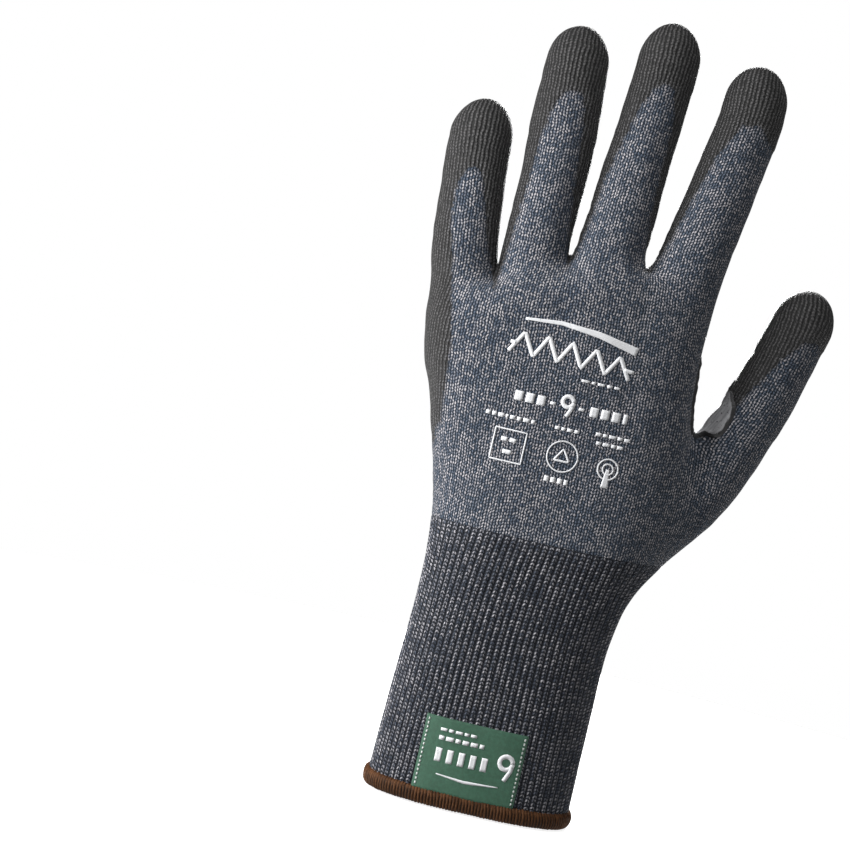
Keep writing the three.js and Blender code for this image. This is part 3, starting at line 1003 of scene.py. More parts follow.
class Shader:
    """A material's nodes, made by short calls that take numbers or Values."""

    def __init__(self, name):
        self.material = bpy.data.materials.new(name)
        self.material.use_nodes = True
        self.tree = self.material.node_tree
        self.surface = self.tree.nodes["Principled BSDF"]

    def put(self, socket, given):
        if isinstance(given, Value):
            self.tree.links.new(given.socket, socket)
        else:
            socket.default_value = given

    def node(self, kind, inputs, output=0, **settings):
        """A new node's output. Its inputs go by place or by name."""
        node = self.tree.nodes.new(f"ShaderNode{kind}")
        for name, setting in settings.items():
            setattr(node, name, setting)
        for socket, given in inputs.items() if isinstance(inputs, dict) else enumerate(inputs):
            self.put(node.inputs[socket], given)
        return Value(self, node.outputs[output])

    def math(self, operation, a, b=0.0):
        return self.node("Math", (a, b), operation=operation)

    def ramp(self, value, low, high, to_low=0.0, to_high=1.0):
        inputs = (value, low, high, to_low, to_high)
        return self.node("MapRange", inputs, interpolation_type="SMOOTHSTEP")

    def mix(self, share, a, b):
        return self.node("Mix", {"Factor": share, "A": a, "B": b}, output="Result", data_type="RGBA")

    def shade(self, colour, by):
        """A colour made darker by a number from 0 to 1."""
        return self.node("VectorMath", {0: colour, "Scale": by}, operation="SCALE")

    def parts(self, place):
        node = self.tree.nodes.new("ShaderNodeSeparateXYZ")
        self.put(node.inputs[0], place)
        return [Value(self, output) for output in node.outputs]

    def knit_places(self):
        place = self.node("UVMap", (), uv_map="knit")
        across, along, _ = self.parts(place)
        return place, across, along

    def object_places(self):
        return self.node("TexCoord", (), output="Object")

    def attribute(self, name):
        return self.node("Attribute", (), output="Fac", attribute_name=name)

    def dice(self, x, y, z=0.0):
        """A random number for each cell."""
        place = self.node("CombineXYZ", (x, y, z))
        return self.node("TexWhiteNoise", {"Vector": place}, output="Value", noise_dimensions="3D")

    def noise(self, place, scale, detail=2.0, rough=0.5):
        inputs = {"Vector": place, "Scale": scale, "Detail": detail, "Roughness": rough}
        return self.node("TexNoise", inputs, output="Fac")

    def bump(self, height, distance, strength):
        return self.node("Bump", {"Strength": strength, "Distance": distance, "Height": height})

    def finish(self, colour, roughness, normal=None, **fixed):
        self.put(self.surface.inputs["Base Color"], colour)
        self.put(self.surface.inputs["Roughness"], roughness)
        if normal is not None:
            self.put(self.surface.inputs["Normal"], normal)
        for name, value in fixed.items():
            self.surface.inputs[name.replace("_", " ")].default_value = value
        return self.material


# Colours, most of them as a dark and a light end.
# Navy yarn, which also carries the painted shade in the gaps between stitches.
NAVY_YARN_AND_GAP_SHADE = ((0.005, 0.009, 0.016, 1), (0.016, 0.030, 0.050, 1))
PALE_YARN = ((0.095, 0.122, 0.17, 1), (0.57, 0.545, 0.57, 1))
SOAKED_YARN = (0.016, 0.016, 0.017, 1)
# The rib ground and flank colours carry painted shade in the furrows, in the gaps and down the ribs'
# flanks, over the navy yarn.
RIB_GROUND_AND_FURROW_SHADE = ((0.003, 0.004, 0.006, 1), (0.016, 0.020, 0.030, 1))
RIB_PALE = ((0.075, 0.092, 0.13, 1), (0.66, 0.64, 0.68, 1))
RIB_FLANK = (0.014, 0.019, 0.030, 1)
FILM = ((0.007, 0.007, 0.007, 1), (0.105, 0.102, 0.103, 1))
FILM_EDGE = (0.12, 0.12, 0.13, 1)
FILM_PIT = (0.008, 0.008, 0.009, 1)
# The pale patch film also carries painted light on its back-facing side; the mottle and rim colours are
# painted shade and a painted shadow.
PATCH_FILM = ((0.32, 0.32, 0.335, 1), (0.52, 0.52, 0.535, 1))
PATCH_MOTTLE_SHADE = (0.014, 0.014, 0.016, 1)
PATCH_SPECK = (0.01, 0.01, 0.011, 1)
PATCH_RIM_SHADOW = (0.010, 0.010, 0.010, 1)
HEM_THREAD = ((0.044, 0.018, 0.007, 1), (0.140, 0.060, 0.025, 1))
HEM_GROOVE_SHADE = (0.006, 0.003, 0.001, 1)
ELASTIC_THREAD = ((0.012, 0.012, 0.014, 1), (0.04, 0.04, 0.045, 1))
LABEL_GREEN = ((0.017, 0.078, 0.042, 1), (0.032, 0.120, 0.068, 1))
STITCH_THREAD = ((0.45, 0.5, 0.47, 1), (0.8, 0.82, 0.8, 1))
PRINT_WHITE = ((0.45, 0.47, 0.50, 1), (0.93, 0.94, 0.96, 1))
FLOOR_WHITE = ((0.80, 0.80, 0.80, 1), (0.84, 0.84, 0.84, 1))
WHITE = (1, 1, 1, 1)

LABEL_WEAVE = 0.45 * MM
FIBRE_SCALE = 2600.0


def grains(s, across, along, wale, course, lean=0.0):
    """One slanted grain of yarn to each stitch: its height, and a random number for each.

    lean slants the grains of neighbouring columns in opposite ways, as the legs of a rib stitch.
    """
    column = across / wale
    number = column.floor()
    if lean:
        row = along / course + s.dice((number * 0.5).floor(), 0.0) * 0.5
    else:
        row = along / course + s.dice(number, 0.0)
    line = row.floor()
    random = s.dice(number, line)
    slant = s.dice(number, line, 7.0) - 0.5
    drift = s.dice(number, line, 13.0) - 0.5
    if lean:
        leg = (number * 0.5).fraction() * 4.0 - 1.0
        slant = slant * 0.5 + leg * lean
    up = row.fraction() - 0.5
    aside = (column.fraction() - 0.5) + (drift * 0.2 + up * slant)
    wide = aside / 0.38
    tall = up / 0.56
    return s.ramp(wide * wide + tall * tall, 1.05, 0.15), random


def knit_material():
    s = Shader("heather knit")
    place, across, along = s.knit_places()
    wander = (s.noise(place, 0.32, 3.0) - 0.5) * 0.8
    height, random = grains(s, across + wander, along + wander, WALE, COURSE)
    fibre = s.noise(place, 3.1, 3.0, 0.7)
    blotch = s.noise(place, 0.11, 5.0, 0.7)
    tone = random * 0.65 + ((blotch - 0.5) * 0.8 + (fibre - 0.5) * 0.6)
    navy_and_gap_shade = s.mix(s.ramp(fibre, 0.3, 0.7), *NAVY_YARN_AND_GAP_SHADE)
    pale = s.mix(s.ramp(tone, 0.0, 0.72), *PALE_YARN)
    # Between the grains: partly the navy yarn, partly painted shade in the gaps between stitches.
    heather = s.mix(height, navy_and_gap_shade, pale)
    soaked = s.attribute("soak") * (random * 0.4 + 0.55)
    colour = s.mix(soaked, heather, SOAKED_YARN)
    normal = s.bump(height + fibre * 0.3, 0.26 * MM, 0.9)
    return s.finish(colour, 0.86, normal, Sheen_Weight=0.1, Sheen_Roughness=0.5, Specular_IOR_Level=0.3)


def rib_material():
    """Leaning pairs of stitches on each rib's crest, and dark ground in the furrows: the navy yarn with
    painted shade, which also darkens the ribs' flanks.
    """
    s = Shader("ribbed knit")
    place, across, along = s.knit_places()
    wander = (s.noise(place, 0.6, 3.0) - 0.5) * 0.45
    height, random = grains(s, across + wander, along + wander * 1.6, RIB_PITCH / 2, RIB_COURSE, lean=0.6)
    from_crest = s.math("ABSOLUTE", (across / RIB_PITCH).fraction() - 0.5)
    crest = s.ramp(from_crest, 0.42, 0.20)
    fibre = s.noise(place, 2.9, 3.0, 0.7)
    blotch = s.noise(place, 0.12, 3.0, 0.6)
    tone = random * 0.6 + ((blotch - 0.5) * 0.5 + (fibre - 0.5) * 1.3)
    ground_and_furrow_shade = s.mix(s.ramp(fibre, 0.3, 0.7), *RIB_GROUND_AND_FURROW_SHADE)
    pale = s.mix(s.ramp(tone, 0.0, 0.75), *RIB_PALE)
    # Painted shade: the flanks darken away from each crest, and the furrows and gaps take the near-black
    # ground over the navy yarn.
    yarn = s.mix(crest * 0.9 + 0.1, RIB_FLANK, pale)
    shown = (crest * 0.75 + 0.25) * s.ramp(fibre, 0.3, 0.55, 0.45, 1.0)
    colour = s.mix(height * shown, ground_and_furrow_shade, yarn)
    normal = s.bump(height + fibre * 0.6, 0.28 * MM, 0.9)
    return s.finish(colour, 0.86, normal, Sheen_Weight=0.08, Sheen_Roughness=0.5, Specular_IOR_Level=0.3)


def coating_material(name, wale, rows):
    """Dark satin film: the knit shows through as fine wales, with pits, scuffs and smoother patches.
    Painted shade darkens its palm-facing side, and its pale flecks near the thin edge are partly painted
    highlights.
    """
    s = Shader(name)
    place, across, along = s.knit_places()
    wander = (s.noise(place, 0.32, 3.0) - 0.5) * 0.8
    height, random = grains(s, across + wander, along + wander, wale, rows)
    wave = s.math("COSINE", (across + wander) * (2 * math.pi / wale)) * -0.5
    broad = s.noise(place, 0.07, 3.0, 0.55)
    grain = s.noise(place, 1.9, 4.0, 0.7)
    pits = s.ramp(s.noise(place, 0.95, 3.0, 0.6), 0.66, 0.76)
    open_knit = 1.0 - s.ramp(broad, 0.5, 0.8) * 0.75
    texture = (height * (random * 0.5 + 0.6) + wave * 0.55) * open_knit
    relief = texture + (grain * 0.8 + pits * -0.8)
    ridge = (height * (random * 0.6 + 0.1) + wave * 0.22) * open_knit
    tone = ridge + (broad * 0.12 + (grain - 0.44) * 0.5)
    film = s.mix(s.ramp(tone, 0.0, 0.62), *FILM)
    thin = s.ramp(s.attribute("coat"), 0.0, 2.6, 1.0, 0.0)
    # Pale flecks on the grains near the thin edge: the knit showing through, and painted highlights on
    # the grain tops.
    colour = s.mix(thin * (random * height * 0.6), film, FILM_EDGE)
    colour = s.mix(pits * 0.8, colour, FILM_PIT)
    # Painted shade: the film is drawn up to half as dark where it faces the palm side.
    palm = s.attribute("palm")
    colour = s.shade(colour, 1.0 - palm * 0.5)
    uneven = (broad - 0.5) * -0.15 + (grain - 0.5) * 0.2
    roughness = (0.58 - palm * 0.25) + uneven
    return s.finish(colour, roughness, s.bump(relief, 0.4 * MM, 0.95), Specular_IOR_Level=0.38)


def patch_material():
    """The second dip in the thumb crotch: thicker and paler, with streaks and dark specks. Painted light
    makes its back-facing side paler and painted shade its palm side darker, with dark mottles of painted
    shade in its middle and a painted shadow along its edge.
    """
    s = Shader("crotch dip")
    place, across, along = s.knit_places()
    broad = s.noise(place, 0.35, 5.0, 0.75)
    specks = s.ramp(s.noise(place, 1.4, 2.0, 0.5), 0.62, 0.7)
    streaks = s.noise(s.node("CombineXYZ", (across, along * 0.18)), 1.1, 2.0, 0.5)
    colour = s.mix(s.ramp(streaks, 0.3, 0.7), *PATCH_FILM)
    # Painted light and shade: the patch is drawn lighter where it faces the back and darker where it
    # faces the palm side.
    colour = s.shade(colour, 1.0 - s.attribute("palm") * 0.58)
    # Painted shade: dark mottles in the palm-facing middle of the patch.
    worn = s.attribute("worn") * s.ramp(broad + streaks * 0.3, 0.48, 0.72)
    colour = s.mix(worn, colour, PATCH_MOTTLE_SHADE)
    colour = s.mix(specks * 0.85, colour, PATCH_SPECK)
    # A painted shadow: the patch darkens towards its outer edge, beside its raised bead.
    edge = s.ramp(s.attribute("patch"), 1.1, 0.7)
    colour = s.mix(edge * 0.9, colour, PATCH_RIM_SHADOW)
    normal = s.bump(streaks + specks * -0.6, 0.25 * MM, 0.8)
    return s.finish(colour, streaks * 0.2 + 0.34, normal, Specular_IOR_Level=0.25)


def thread_material(name, dark, light):
    """Loose fibres along a thread."""
    s = Shader(name)
    place = s.object_places()
    fibre = s.noise(place, FIBRE_SCALE, 3.0, 0.7)
    uneven = s.noise(place, 240.0, 2.0, 0.5)
    colour = s.mix(s.ramp(fibre * 0.6 + uneven * 0.4, 0.35, 0.65), dark, light)
    normal = s.bump(fibre, 0.12 * MM, 0.6)
    return s.finish(colour, uneven * 0.2 + 0.5, normal, Sheen_Weight=0.3, Specular_IOR_Level=0.4)


def hem_material():
    """Brown thread, with painted shade between the wraps."""
    s = Shader("overlock thread")
    place = s.object_places()
    fibre = s.noise(place, FIBRE_SCALE, 3.0, 0.7)
    uneven = s.noise(place, 300.0, 3.0, 0.5)
    thread = s.mix(s.ramp(fibre * 0.5 + uneven * 0.5, 0.35, 0.65), *HEM_THREAD)
    # Painted shade in the grooves between the wraps, away from each ridge's crest.
    colour = s.mix(s.ramp(s.attribute("crest"), 0.35, 0.9), HEM_GROOVE_SHADE, thread)
    normal = s.bump(fibre, 0.12 * MM, 0.6)
    return s.finish(colour, uneven * 0.2 + 0.5, normal, Specular_IOR_Level=0.12)


def label_material():
    """Fine plain weave in one colour."""
    s = Shader("green label cloth")
    place = s.object_places()
    x, _, z = s.parts(place)
    turns = 2 * math.pi / LABEL_WEAVE
    weave = s.math("SINE", x * turns) * s.math("SINE", z * turns)
    fibre = s.noise(place, 900.0, 4.0, 0.65)
    colour = s.mix(s.ramp(weave * 0.12 + fibre, 0.3, 0.7), *LABEL_GREEN)
    normal = s.bump(weave + fibre, 0.05 * MM, 0.8)
    return s.finish(colour, fibre * 0.15 + 0.5, normal, Sheen_Weight=0.15)


def print_material():
    s = Shader("white print")
    grain = s.noise(s.object_places(), 1500.0, 3.0, 0.7)
    colour = s.mix(s.ramp(grain, 0.22, 0.42), *PRINT_WHITE)
    return s.finish(colour, grain * 0.2 + 0.55, s.bump(grain, 0.08 * MM, 0.7))


def floor_material():
    """Pale sheet, lit evenly so that it meets the backdrop without a line."""
    s = Shader("pale floor")
    cloud = s.noise(s.object_places(), 6.0, 2.0, 0.5)
    colour = s.mix(cloud, *FLOOR_WHITE)
    return s.finish(colour, cloud * 0.1 + 0.7, Emission_Color=WHITE, Emission_Strength=0.86)


KNIT = knit_material()
RIB = rib_material()
COATING = coating_material("dip over knit", DIP_WALE, COURSE)
RIB_COATING = coating_material("dip over ribs", RIB_PITCH, RIB_COURSE)
PATCH = patch_material()
HEM = hem_material()
ELASTIC = thread_material("covered elastic", *ELASTIC_THREAD)
LABEL = label_material()
LABEL_THREAD = thread_material("pale thread", *STITCH_THREAD)
PRINT = print_material()


# ---- Liner, coating, patch and cuff ----

def add_pieces(skin, name, material, attributes, replaced, hinges=PIECE_HINGES):
    """Cuts a layered skin into closed pieces, one for the hand and one for each hinge."""
    labels = body_labels(skin.centres())
    for hinge in hinges:
        part = skin.chosen(labels == PIECE_HINGES.index(hinge))
        obj = shell(name(hinge), part, material, attributes)
        follow(obj, hinge)
        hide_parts(*replaced(hinge))


def add_liner(skin):
    """The knit of the hand and stalls, a shell of one knit's thickness."""
    set_layers(skin, 0.0, -KNIT_THICKNESS)
    skin.values["soak"] = smoothstep(-1.3, 0.5, skin.coat)
    add_pieces(
        skin,
        lambda hinge: f"{hinge or 'hand'}_liner",
        KNIT,
        ("soak",),
        lambda hinge: (f"{hinge}_knit", f"{hinge}_fold") if hinge else ("hand_knit",),
    )


def coated(skin, inside, thickness):
    """The dipped film over part of a skin, thinning out at its edge."""
    film = skin.clipped(inside)
    rise = COAT_EDGE + (thickness - COAT_EDGE) * smoothstep(0.0, 1.8, film.coat)
    set_layers(film, rise, COAT_GAP)
    # How far the film faces the palm side; the material paints that side darker, as painted shade, and
    # makes it glossier.
    film.values["palm"] = smoothstep(-0.2, 0.5, film.facing)
    return film


def add_coating(skin):
    """The film over the palm side, the finger sides and the fingertips."""
    add_pieces(
        coated(skin, skin.coat, COAT_THICKNESS),
        lambda hinge: f"{hinge or 'palm'}_dip",
        COATING,
        ("coat", "palm"),
        lambda hinge: (f"{hinge or 'palm'}_coating",),
    )


def add_patch(skin):
    """The reinforcement in the thumb crotch, with the raised bead along its edge."""
    film = skin.clipped(skin.patch)
    bead = PATCH_BEAD * np.exp(-(((film.patch - 0.7) / 0.55) ** 2))
    rise = PATCH_EDGE + PATCH_THICKNESS * smoothstep(0.0, 0.9, film.patch) + bead
    set_layers(film, rise, PATCH_GAP)
    # Where the material paints dark mottles of shade: the palm-facing middle of the patch.
    film.values["worn"] = smoothstep(0.1, 0.6, film.facing) * smoothstep(1.5, 4.5, film.patch)
    # How far the patch faces the palm side; the material paints that side darker and the back-facing side
    # lighter, as painted light and shade.
    film.values["palm"] = smoothstep(0.0, 0.5, film.facing)
    add_pieces(
        film,
        lambda hinge: f"crotch_patch_{'thumb' if hinge else 'palm'}",
        PATCH,
        ("patch", "worn", "palm"),
        lambda hinge: ("thumb_crotch_patch",),
        hinges=(None, "thumb_base"),
    )


def add_cuff(cuff, around):
    """The ribbed cuff, and the film over its top on the palm side."""
    set_layers(cuff, 0.0, -RIB_THICKNESS)
    obj = shell("ribbed_cuff", cuff, RIB, (), wrap=around)
    follow_wrist(obj)
    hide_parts("cuff_rib", "wrist_rib", "wrist_fold")
    below_top = RIB_TOP + CUFF_DIP_OVERLAP - cuff.place[:, 2]
    film = coated(cuff, np.minimum(cuff.coat, below_top), RIB_COAT_THICKNESS)
    obj = shell("cuff_dip", film, RIB_COATING, ("coat", "palm"), wrap=around)
    follow_wrist(obj)
    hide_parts("cuff_coating")


# ---- Hem, elastic, label and print ----

def cuff_ring(z, offset, count):
    """Evenly spaced points round the cuff at a height, and the way out at each."""
    middle_x, middle_y, half_width, half_depth = (v[0] for v in hand_section(np.array([float(z)])))
    outline, arc = section_outline(half_width + offset, half_depth + offset)
    points = even_points(outline, arc, count) + (middle_x, middle_y)
    ahead = unit(np.roll(points, -1, axis=0) - np.roll(points, 1, axis=0))
    return points, np.stack([ahead[:, 1], -ahead[:, 0]], axis=1)


def tube_faces(rows, columns):
    """Quads of a grid that closes both ways."""
    index = np.arange(rows * columns).reshape(rows, columns)
    next_row = np.roll(index, -1, axis=0)
    corners = (index, next_row, np.roll(next_row, -1, axis=1), np.roll(index, -1, axis=1))
    return np.stack([corner.ravel() for corner in corners], axis=1)


def slab_faces(rows, columns):
    """Quads of a closed slab over a grid, whose top points come before its bottom ones."""
    size = rows * columns
    index = np.arange(size).reshape(rows, columns)
    corners = (index[:-1, :-1], index[:-1, 1:], index[1:, 1:], index[1:, :-1])
    top = np.stack([corner.ravel() for corner in corners], axis=1)
    border = np.concatenate([index[0, :-1], index[:-1, -1], index[-1, :0:-1], index[:0:-1, 0]])
    ahead = np.roll(border, -1)
    walls = np.stack([ahead, border, border + size, ahead + size], axis=1)
    return np.concatenate([top, top[:, ::-1] + size, walls])


def add_hem():
    """Overlock: thread wrapped over the cuff's edge, one ridge to each wrap."""
    count = HEM_WRAPS * HEM_STEPS_PER_WRAP
    points, out = cuff_ring(HEM_RING_HEIGHT, -HEM_INSET, count)
    phase = np.arange(count) / HEM_STEPS_PER_WRAP
    dice = np.random.default_rng(5)
    size = np.repeat(dice.uniform(0.75, 1.15, HEM_WRAPS), HEM_STEPS_PER_WRAP)
    lean = np.repeat(dice.uniform(-0.14, 0.14, HEM_WRAPS), HEM_STEPS_PER_WRAP)
    rows, crests = [], []
    for step in range(HEM_STEPS_AROUND):
        turn = step / HEM_STEPS_AROUND * 2 * math.pi
        across, up = math.cos(turn), math.sin(turn)
        ridge = np.abs(np.sin(math.pi * (phase + 0.22 * up + lean * up))) ** 0.6
        chain = 0.34 * max(0.0, math.cos(turn - 0.95)) ** 8
        knob = chain * (0.5 + 0.5 * np.sin(2 * math.pi * (phase + 0.3)))
        thick = 1.25 + 0.5 * ridge * size + knob
        tall = np.minimum(2.3 + 0.35 * ridge * size, HEM_TALLEST)
        flat = points + out * (across * thick)[:, None]
        rows.append(np.column_stack([flat, HEM_MIDDLE + up * tall]))
        crests.append(ridge * size + knob)
    obj = new_object("overlock_hem", np.concatenate(rows), tube_faces(HEM_STEPS_AROUND, count), HEM)
    # How high on its ridge each point lies; the material paints shade in the grooves by it.
    set_attribute(obj.data, "crest", np.concatenate(crests))
    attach(obj, "cuff")
    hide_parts("hem_binding")


def add_elastic():
    """Covered elastic yarn laid round the inside of the cuff."""
    count, around = 120, 6
    vertices, faces = [], []
    for level, z in enumerate(ELASTIC_HEIGHTS):
        points, out = cuff_ring(z, -ELASTIC_DEPTH, count)
        for k in range(around):
            turn = k / around * 2 * math.pi
            flat = points + out * (ELASTIC_RADIUS * math.cos(turn))
            height = np.full(count, z + ELASTIC_RADIUS * math.sin(turn))
            vertices.append(np.column_stack([flat, height]))
        faces.append(tube_faces(around, count) + level * count * around)
    obj = new_object("elastic_yarns", np.concatenate(vertices), np.concatenate(faces), ELASTIC)
    follow_wrist(obj)
    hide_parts("cuff_elastic")


class Backing:
    """The back surface that the label and the print lie on."""

    def __init__(self, place, triangles):
        self.tree = BVHTree.FromPolygons(place.tolist(), triangles.tolist())

    def at(self, x, z):
        hit, normal, _, _ = self.tree.ray_cast(Vector((x, -80.0, z)), Vector((0, 1, 0)))
        return np.array(hit), np.array(normal)


def strip(path, widths, spacing=0.9):
    """A ribbon along a path in the plane: rows of points across it, in even steps."""
    path = np.array(path, float)
    lengths = arc_lengths(path)
    steps = max(2, int(math.ceil(lengths[-1] / spacing)) + 1)
    even = np.linspace(0, lengths[-1], steps)
    line = along_path(even, lengths, path)
    width = np.interp(even, np.linspace(0, lengths[-1], len(widths)), widths)
    ahead = unit(np.gradient(line, axis=0))
    side = np.stack([-ahead[:, 1], ahead[:, 0]], axis=1)
    lanes = 3 if max(widths) < 1.6 else 5
    share = np.linspace(-0.5, 0.5, lanes)
    return line[:, None, :] + side[:, None, :] * (width[:, None] * share)[:, :, None]


def ring_path(x, z, radius):
    turns = np.radians(np.linspace(0, 360, 28))
    return [(x + radius * math.cos(t), z + radius * math.sin(t)) for t in turns]


def box_path(x, z, half_size):
    corners = ((-1, -1), (1, -1), (1, 1), (-1, 1), (-1, -1))
    return [(x + side * half_size, z + up * half_size) for side, up in corners]


def add_marks(name, marks, backing, material, body, lift, thickness):
    """Marks as thin raised films that lie on the fabric."""
    vertices, faces = [], []
    for path, widths in marks:
        grid = strip(path, widths)
        rows, lanes = grid.shape[:2]
        faces.append(slab_faces(rows, lanes) + len(vertices))
        for rise in (lift + thickness, lift):
            for x, z in grid.reshape(-1, 2):
                hit, normal = backing.at(x, z)
                vertices.append(hit + normal * rise)
    obj = new_object(name, np.array(vertices), np.concatenate(faces), material)
    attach(obj, body)


def nine(x, z, size, width):
    """The size number."""
    bowl = ring_path(x, z + size * 0.22, size * 0.26)
    tail = [(0.26, 0.22), (0.22, -0.08), (0.04, -0.48)]
    tail = [(x + size * right, z + size * up) for right, up in tail]
    return [(bowl, (width,)), (tail, (width, width * 0.9))]


def bar(x, z, end_x, end_z, width):
    return ([(x, z), (end_x, end_z)], (width,))


def dashes(x, z, lengths, width, gap):
    """A row of short bars."""
    marks = []
    for length in lengths:
        marks.append(bar(x, z, x + length, z, width))
        x += length + gap
    return marks


def hand_marks():
    """Plain bars, simple shapes and the size number, where a work glove carries its print."""
    marks = [([(-15.5, 153.4), (-4, 154.4), (8, 153.4), (20.5, 150.8)], (0.8, 1.3, 2.0, 2.6))]
    crests = [(-18.5, 142.6), (-14.6, 149.2), (-10.8, 142.4), (-7.0, 149.4), (-3.2, 142.4), (0.6, 149.2)]
    crests += [(4.4, 142.2), (8.2, 148.8), (12.0, 142.0), (15.8, 148.2), (19.6, 141.6)]
    marks.append((crests, (1.25,)))
    marks += [bar(-18.5, 145.6, -16.6, 145.6, 1.1), bar(17.6, 144.6, 20.8, 144.4, 1.1)]
    marks += dashes(5.5, 138.6, (2.6, 1.2, 2.2, 1.6, 1.8), 0.8, 0.7)
    marks += dashes(-13.5, 129.8, (2.6, 2.6, 2.6), 3.0, 0.9)
    marks += [bar(-2.4, 129.8, -0.6, 129.8, 0.9)]
    marks += nine(3.0, 129.8, 6.6, 1.3)
    marks += [bar(6.6, 129.8, 8.4, 129.8, 0.9)]
    marks += dashes(10.2, 129.8, (2.6, 2.6, 2.6, 1.4), 3.0, 0.9)
    marks += dashes(-21, 122.8, (1.4, 1.4, 1.8, 0.8, 1.6, 1.4, 2.0, 1.2), 1.2, 0.55)
    marks += dashes(0.8, 122.8, (1.5, 1.3, 1.8, 1.5), 1.0, 0.5)
    marks += dashes(13.5, 123.6, (1.8, 1.4, 2.2, 1.6, 1.8), 1.0, 0.5)
    marks += dashes(14.2, 120.9, (1.6, 2.2, 1.4, 1.8), 1.0, 0.5)
    marks.append((box_path(-12, 114, 4.9), (0.45,)))
    marks += dashes(-14.6, 115.8, (2.0, 2.0), 1.3, 0.7)
    marks += dashes(-13.4, 112.0, (2.8,), 1.3, 0.7)
    marks.append((ring_path(5, 114.4, 4.8), (0.45,)))
    marks.append(([(2.6, 113.0), (5, 116.8), (7.4, 113.0), (2.6, 113.0)], (0.6,)))
    marks += dashes(0.9, 106.8, (1.6, 1.6, 1.6, 1.2), 1.6, 0.5)
    marks.append((ring_path(19.6, 113.6, 3.2), (0.5,)))
    marks.append((ring_path(19.6, 113.6, 1.7), (0.5,)))
    marks.append(([(19.6, 113.6), (19.6, 107.8)], (1.0, 2.4)))
    return marks


def label_marks():
    """Plain bars, a curved line and the size number."""
    marks = dashes(-12.5, 24.4, (2.0, 1.5, 2.2, 1.4, 1.8), 0.9, 0.6)
    marks += dashes(-12.5, 21.8, (1.6, 2.4, 1.6, 2.0, 2.2, 1.4), 1.3, 0.6)
    marks += [bar(x, 14.4, x, 18.6, 1.9) for x in (-11.6, -8.0, -4.4, -0.8, 2.8)]
    marks += nine(9.4, 16.8, 8.0, 1.4)
    marks.append(([(-11, 10.6), (-2, 9.9), (8.5, 10.6)], (0.3, 0.9, 0.3)))
    return marks


def label_stitches():
    """Short stitches down the label's two sides."""
    stitches = []
    for x in (LABEL_BOX["left"] + 0.9, LABEL_BOX["right"] - 0.9):
        for z in np.arange(LABEL_BOX["bottom"] + 1.2, LABEL_BOX["top"] - 0.8, LABEL_STITCH_PITCH):
            stitches.append(([(x, z), (x, z + 0.75)], (0.42, 0.5, 0.42)))
    return stitches


def add_label(backing):
    """A satin label sewn on over the ribs, with its print and the stitches down its sides."""
    step = 0.8
    xs = np.arange(LABEL_BOX["left"], LABEL_BOX["right"] + step / 2, step)
    zs = np.arange(LABEL_BOX["bottom"], LABEL_BOX["top"] + step / 2, step)
    top, bottom = [], []
    for z in zs:
        for x in xs:
            hit, normal = backing.at(x, z)
            over_ribs = 0.05 * math.cos(2 * math.pi * x / RIB_PITCH)
            wave = over_ribs + 0.12 * math.sin(x * 0.37 + z * 0.21)
            edge = min(x - xs[0], xs[-1] - x, zs[-1] - z)
            rise = LABEL_LIFT + wave - 0.22 * math.exp(-edge / 0.9)
            top.append(hit + normal * rise)
            bottom.append(hit + normal * (rise - LABEL_THICKNESS))
    faces = slab_faces(len(zs), len(xs))
    obj = new_object("cuff_label", np.array(top + bottom), faces, LABEL)
    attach(obj, "cuff")
    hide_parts("size_label")
    top_faces = faces[: (len(zs) - 1) * (len(xs) - 1)]
    surface = Backing(np.array(top), as_triangles(top_faces))
    add_marks("label_print", label_marks(), surface, PRINT, "cuff", lift=0.02, thickness=0.08)
    add_marks("label_stitches", label_stitches(), surface, LABEL_THREAD, "cuff", lift=0.0, thickness=0.22)


# ---- Studio, in metres ----

# The glove leans to the right of the view by this much, about the line of sight.
VIEW_TILT = math.radians(13.0)
CAMERA_HEIGHT = math.radians(2.4)
LENS = 110.0
SENSOR = 36.0
FIELD = 0.2673
LOOK_AT = Vector((-0.0384, 0.0, 0.1137))
AMBIENT = 0.11

# Each light's place, size and power. All of them point at the middle of the glove.
LIGHTS = {
    "key": ((-0.31, -0.14, 0.165), (0.20, 0.36), 2.15),
    "palm_key": ((0.08, 0.52, 0.31), (0.15, 0.40), 5.5),
    "fill": ((0.55, -0.35, 0.35), (0.5, 0.5), 0.4),
    "top": ((-0.1, -0.2, 1.2), (1.0, 1.0), 6.5),
}
LIT_POINT = Vector((0, 0, 0.14))


def add_camera():
    data = bpy.data.cameras.new("camera")
    data.lens = LENS
    data.sensor_width = SENSOR
    camera = bpy.data.objects.new("camera", data)
    bpy.context.scene.collection.objects.link(camera)
    back = Vector((0, -math.cos(CAMERA_HEIGHT), math.sin(CAMERA_HEIGHT)))
    place = LOOK_AT + back * (FIELD * LENS / SENSOR)
    upright = (-back).to_track_quat("-Z", "Y").to_matrix().to_4x4()
    camera.matrix_world = Matrix.Translation(place) @ upright @ Matrix.Rotation(VIEW_TILT, 4, "Z")
    bpy.context.scene.camera = camera


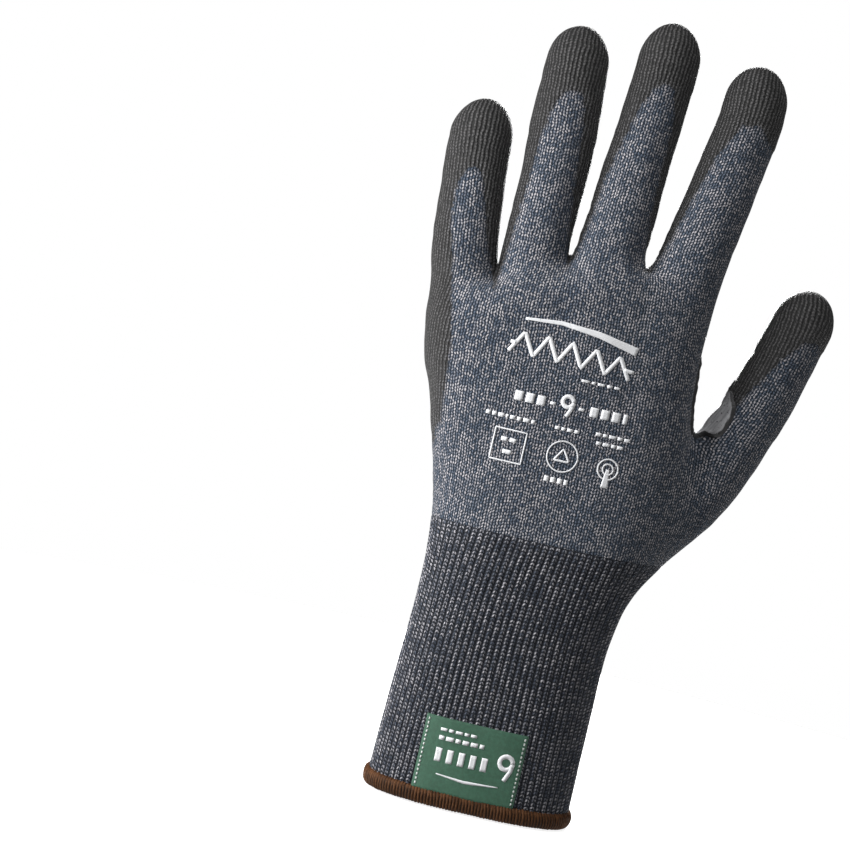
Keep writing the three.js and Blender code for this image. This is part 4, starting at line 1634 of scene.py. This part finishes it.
def add_light(name, place, size, power):
    data = bpy.data.lights.new(name, "AREA")
    data.shape = "RECTANGLE"
    data.size, data.size_y = size
    data.energy = power
    light = bpy.data.objects.new(name, data)
    bpy.context.scene.collection.objects.link(light)
    light.location = place
    light.rotation_euler = (LIT_POINT - Vector(place)).to_track_quat("-Z", "Y").to_euler()


def add_floor():
    turns = np.linspace(0, 2 * math.pi, FLOOR_SIDES, endpoint=False)
    ring = [(FLOOR_RADIUS * math.cos(t), FLOOR_RADIUS * math.sin(t), FLOOR_LEVEL) for t in turns]
    floor = new_object("floor", ring, [range(FLOOR_SIDES)], floor_material(), smooth=False)
    floor.visible_diffuse = False


def add_backdrop():
    """Soft light from all round, with a white backdrop behind the glove."""
    world = bpy.data.worlds.new("studio")
    bpy.context.scene.world = world
    world.use_nodes = True
    nodes, links = world.node_tree.nodes, world.node_tree.links
    sky = nodes["Background"]
    sky.inputs["Color"].default_value = WHITE
    sky.inputs["Strength"].default_value = AMBIENT
    backdrop = nodes.new("ShaderNodeBackground")
    backdrop.inputs["Color"].default_value = WHITE
    backdrop.inputs["Strength"].default_value = 1.0
    seen = nodes.new("ShaderNodeLightPath")
    both = nodes.new("ShaderNodeMixShader")
    links.new(seen.outputs["Is Camera Ray"], both.inputs[0])
    links.new(sky.outputs[0], both.inputs[1])
    links.new(backdrop.outputs[0], both.inputs[2])
    links.new(both.outputs[0], nodes["World Output"].inputs["Surface"])


# ---- The glove and its studio ----

skin = make_skin()
add_liner(skin)
add_coating(skin)
add_patch(skin)
cuff, cuff_girth = make_cuff()
add_cuff(cuff, cuff_girth)
add_hem()
add_elastic()
add_label(Backing(cuff.place, cuff.triangles))
hand_back = Backing(skin.raised, skin.triangles)
add_marks("hand_print", hand_marks(), hand_back, PRINT, "hand", lift=0.05, thickness=0.1)
add_camera()
add_floor()
add_backdrop()
for light_name, (light_place, light_size, light_power) in LIGHTS.items():
    add_light(light_name, light_place, light_size, light_power)
bpy.context.scene.view_settings.view_transform = "Standard"
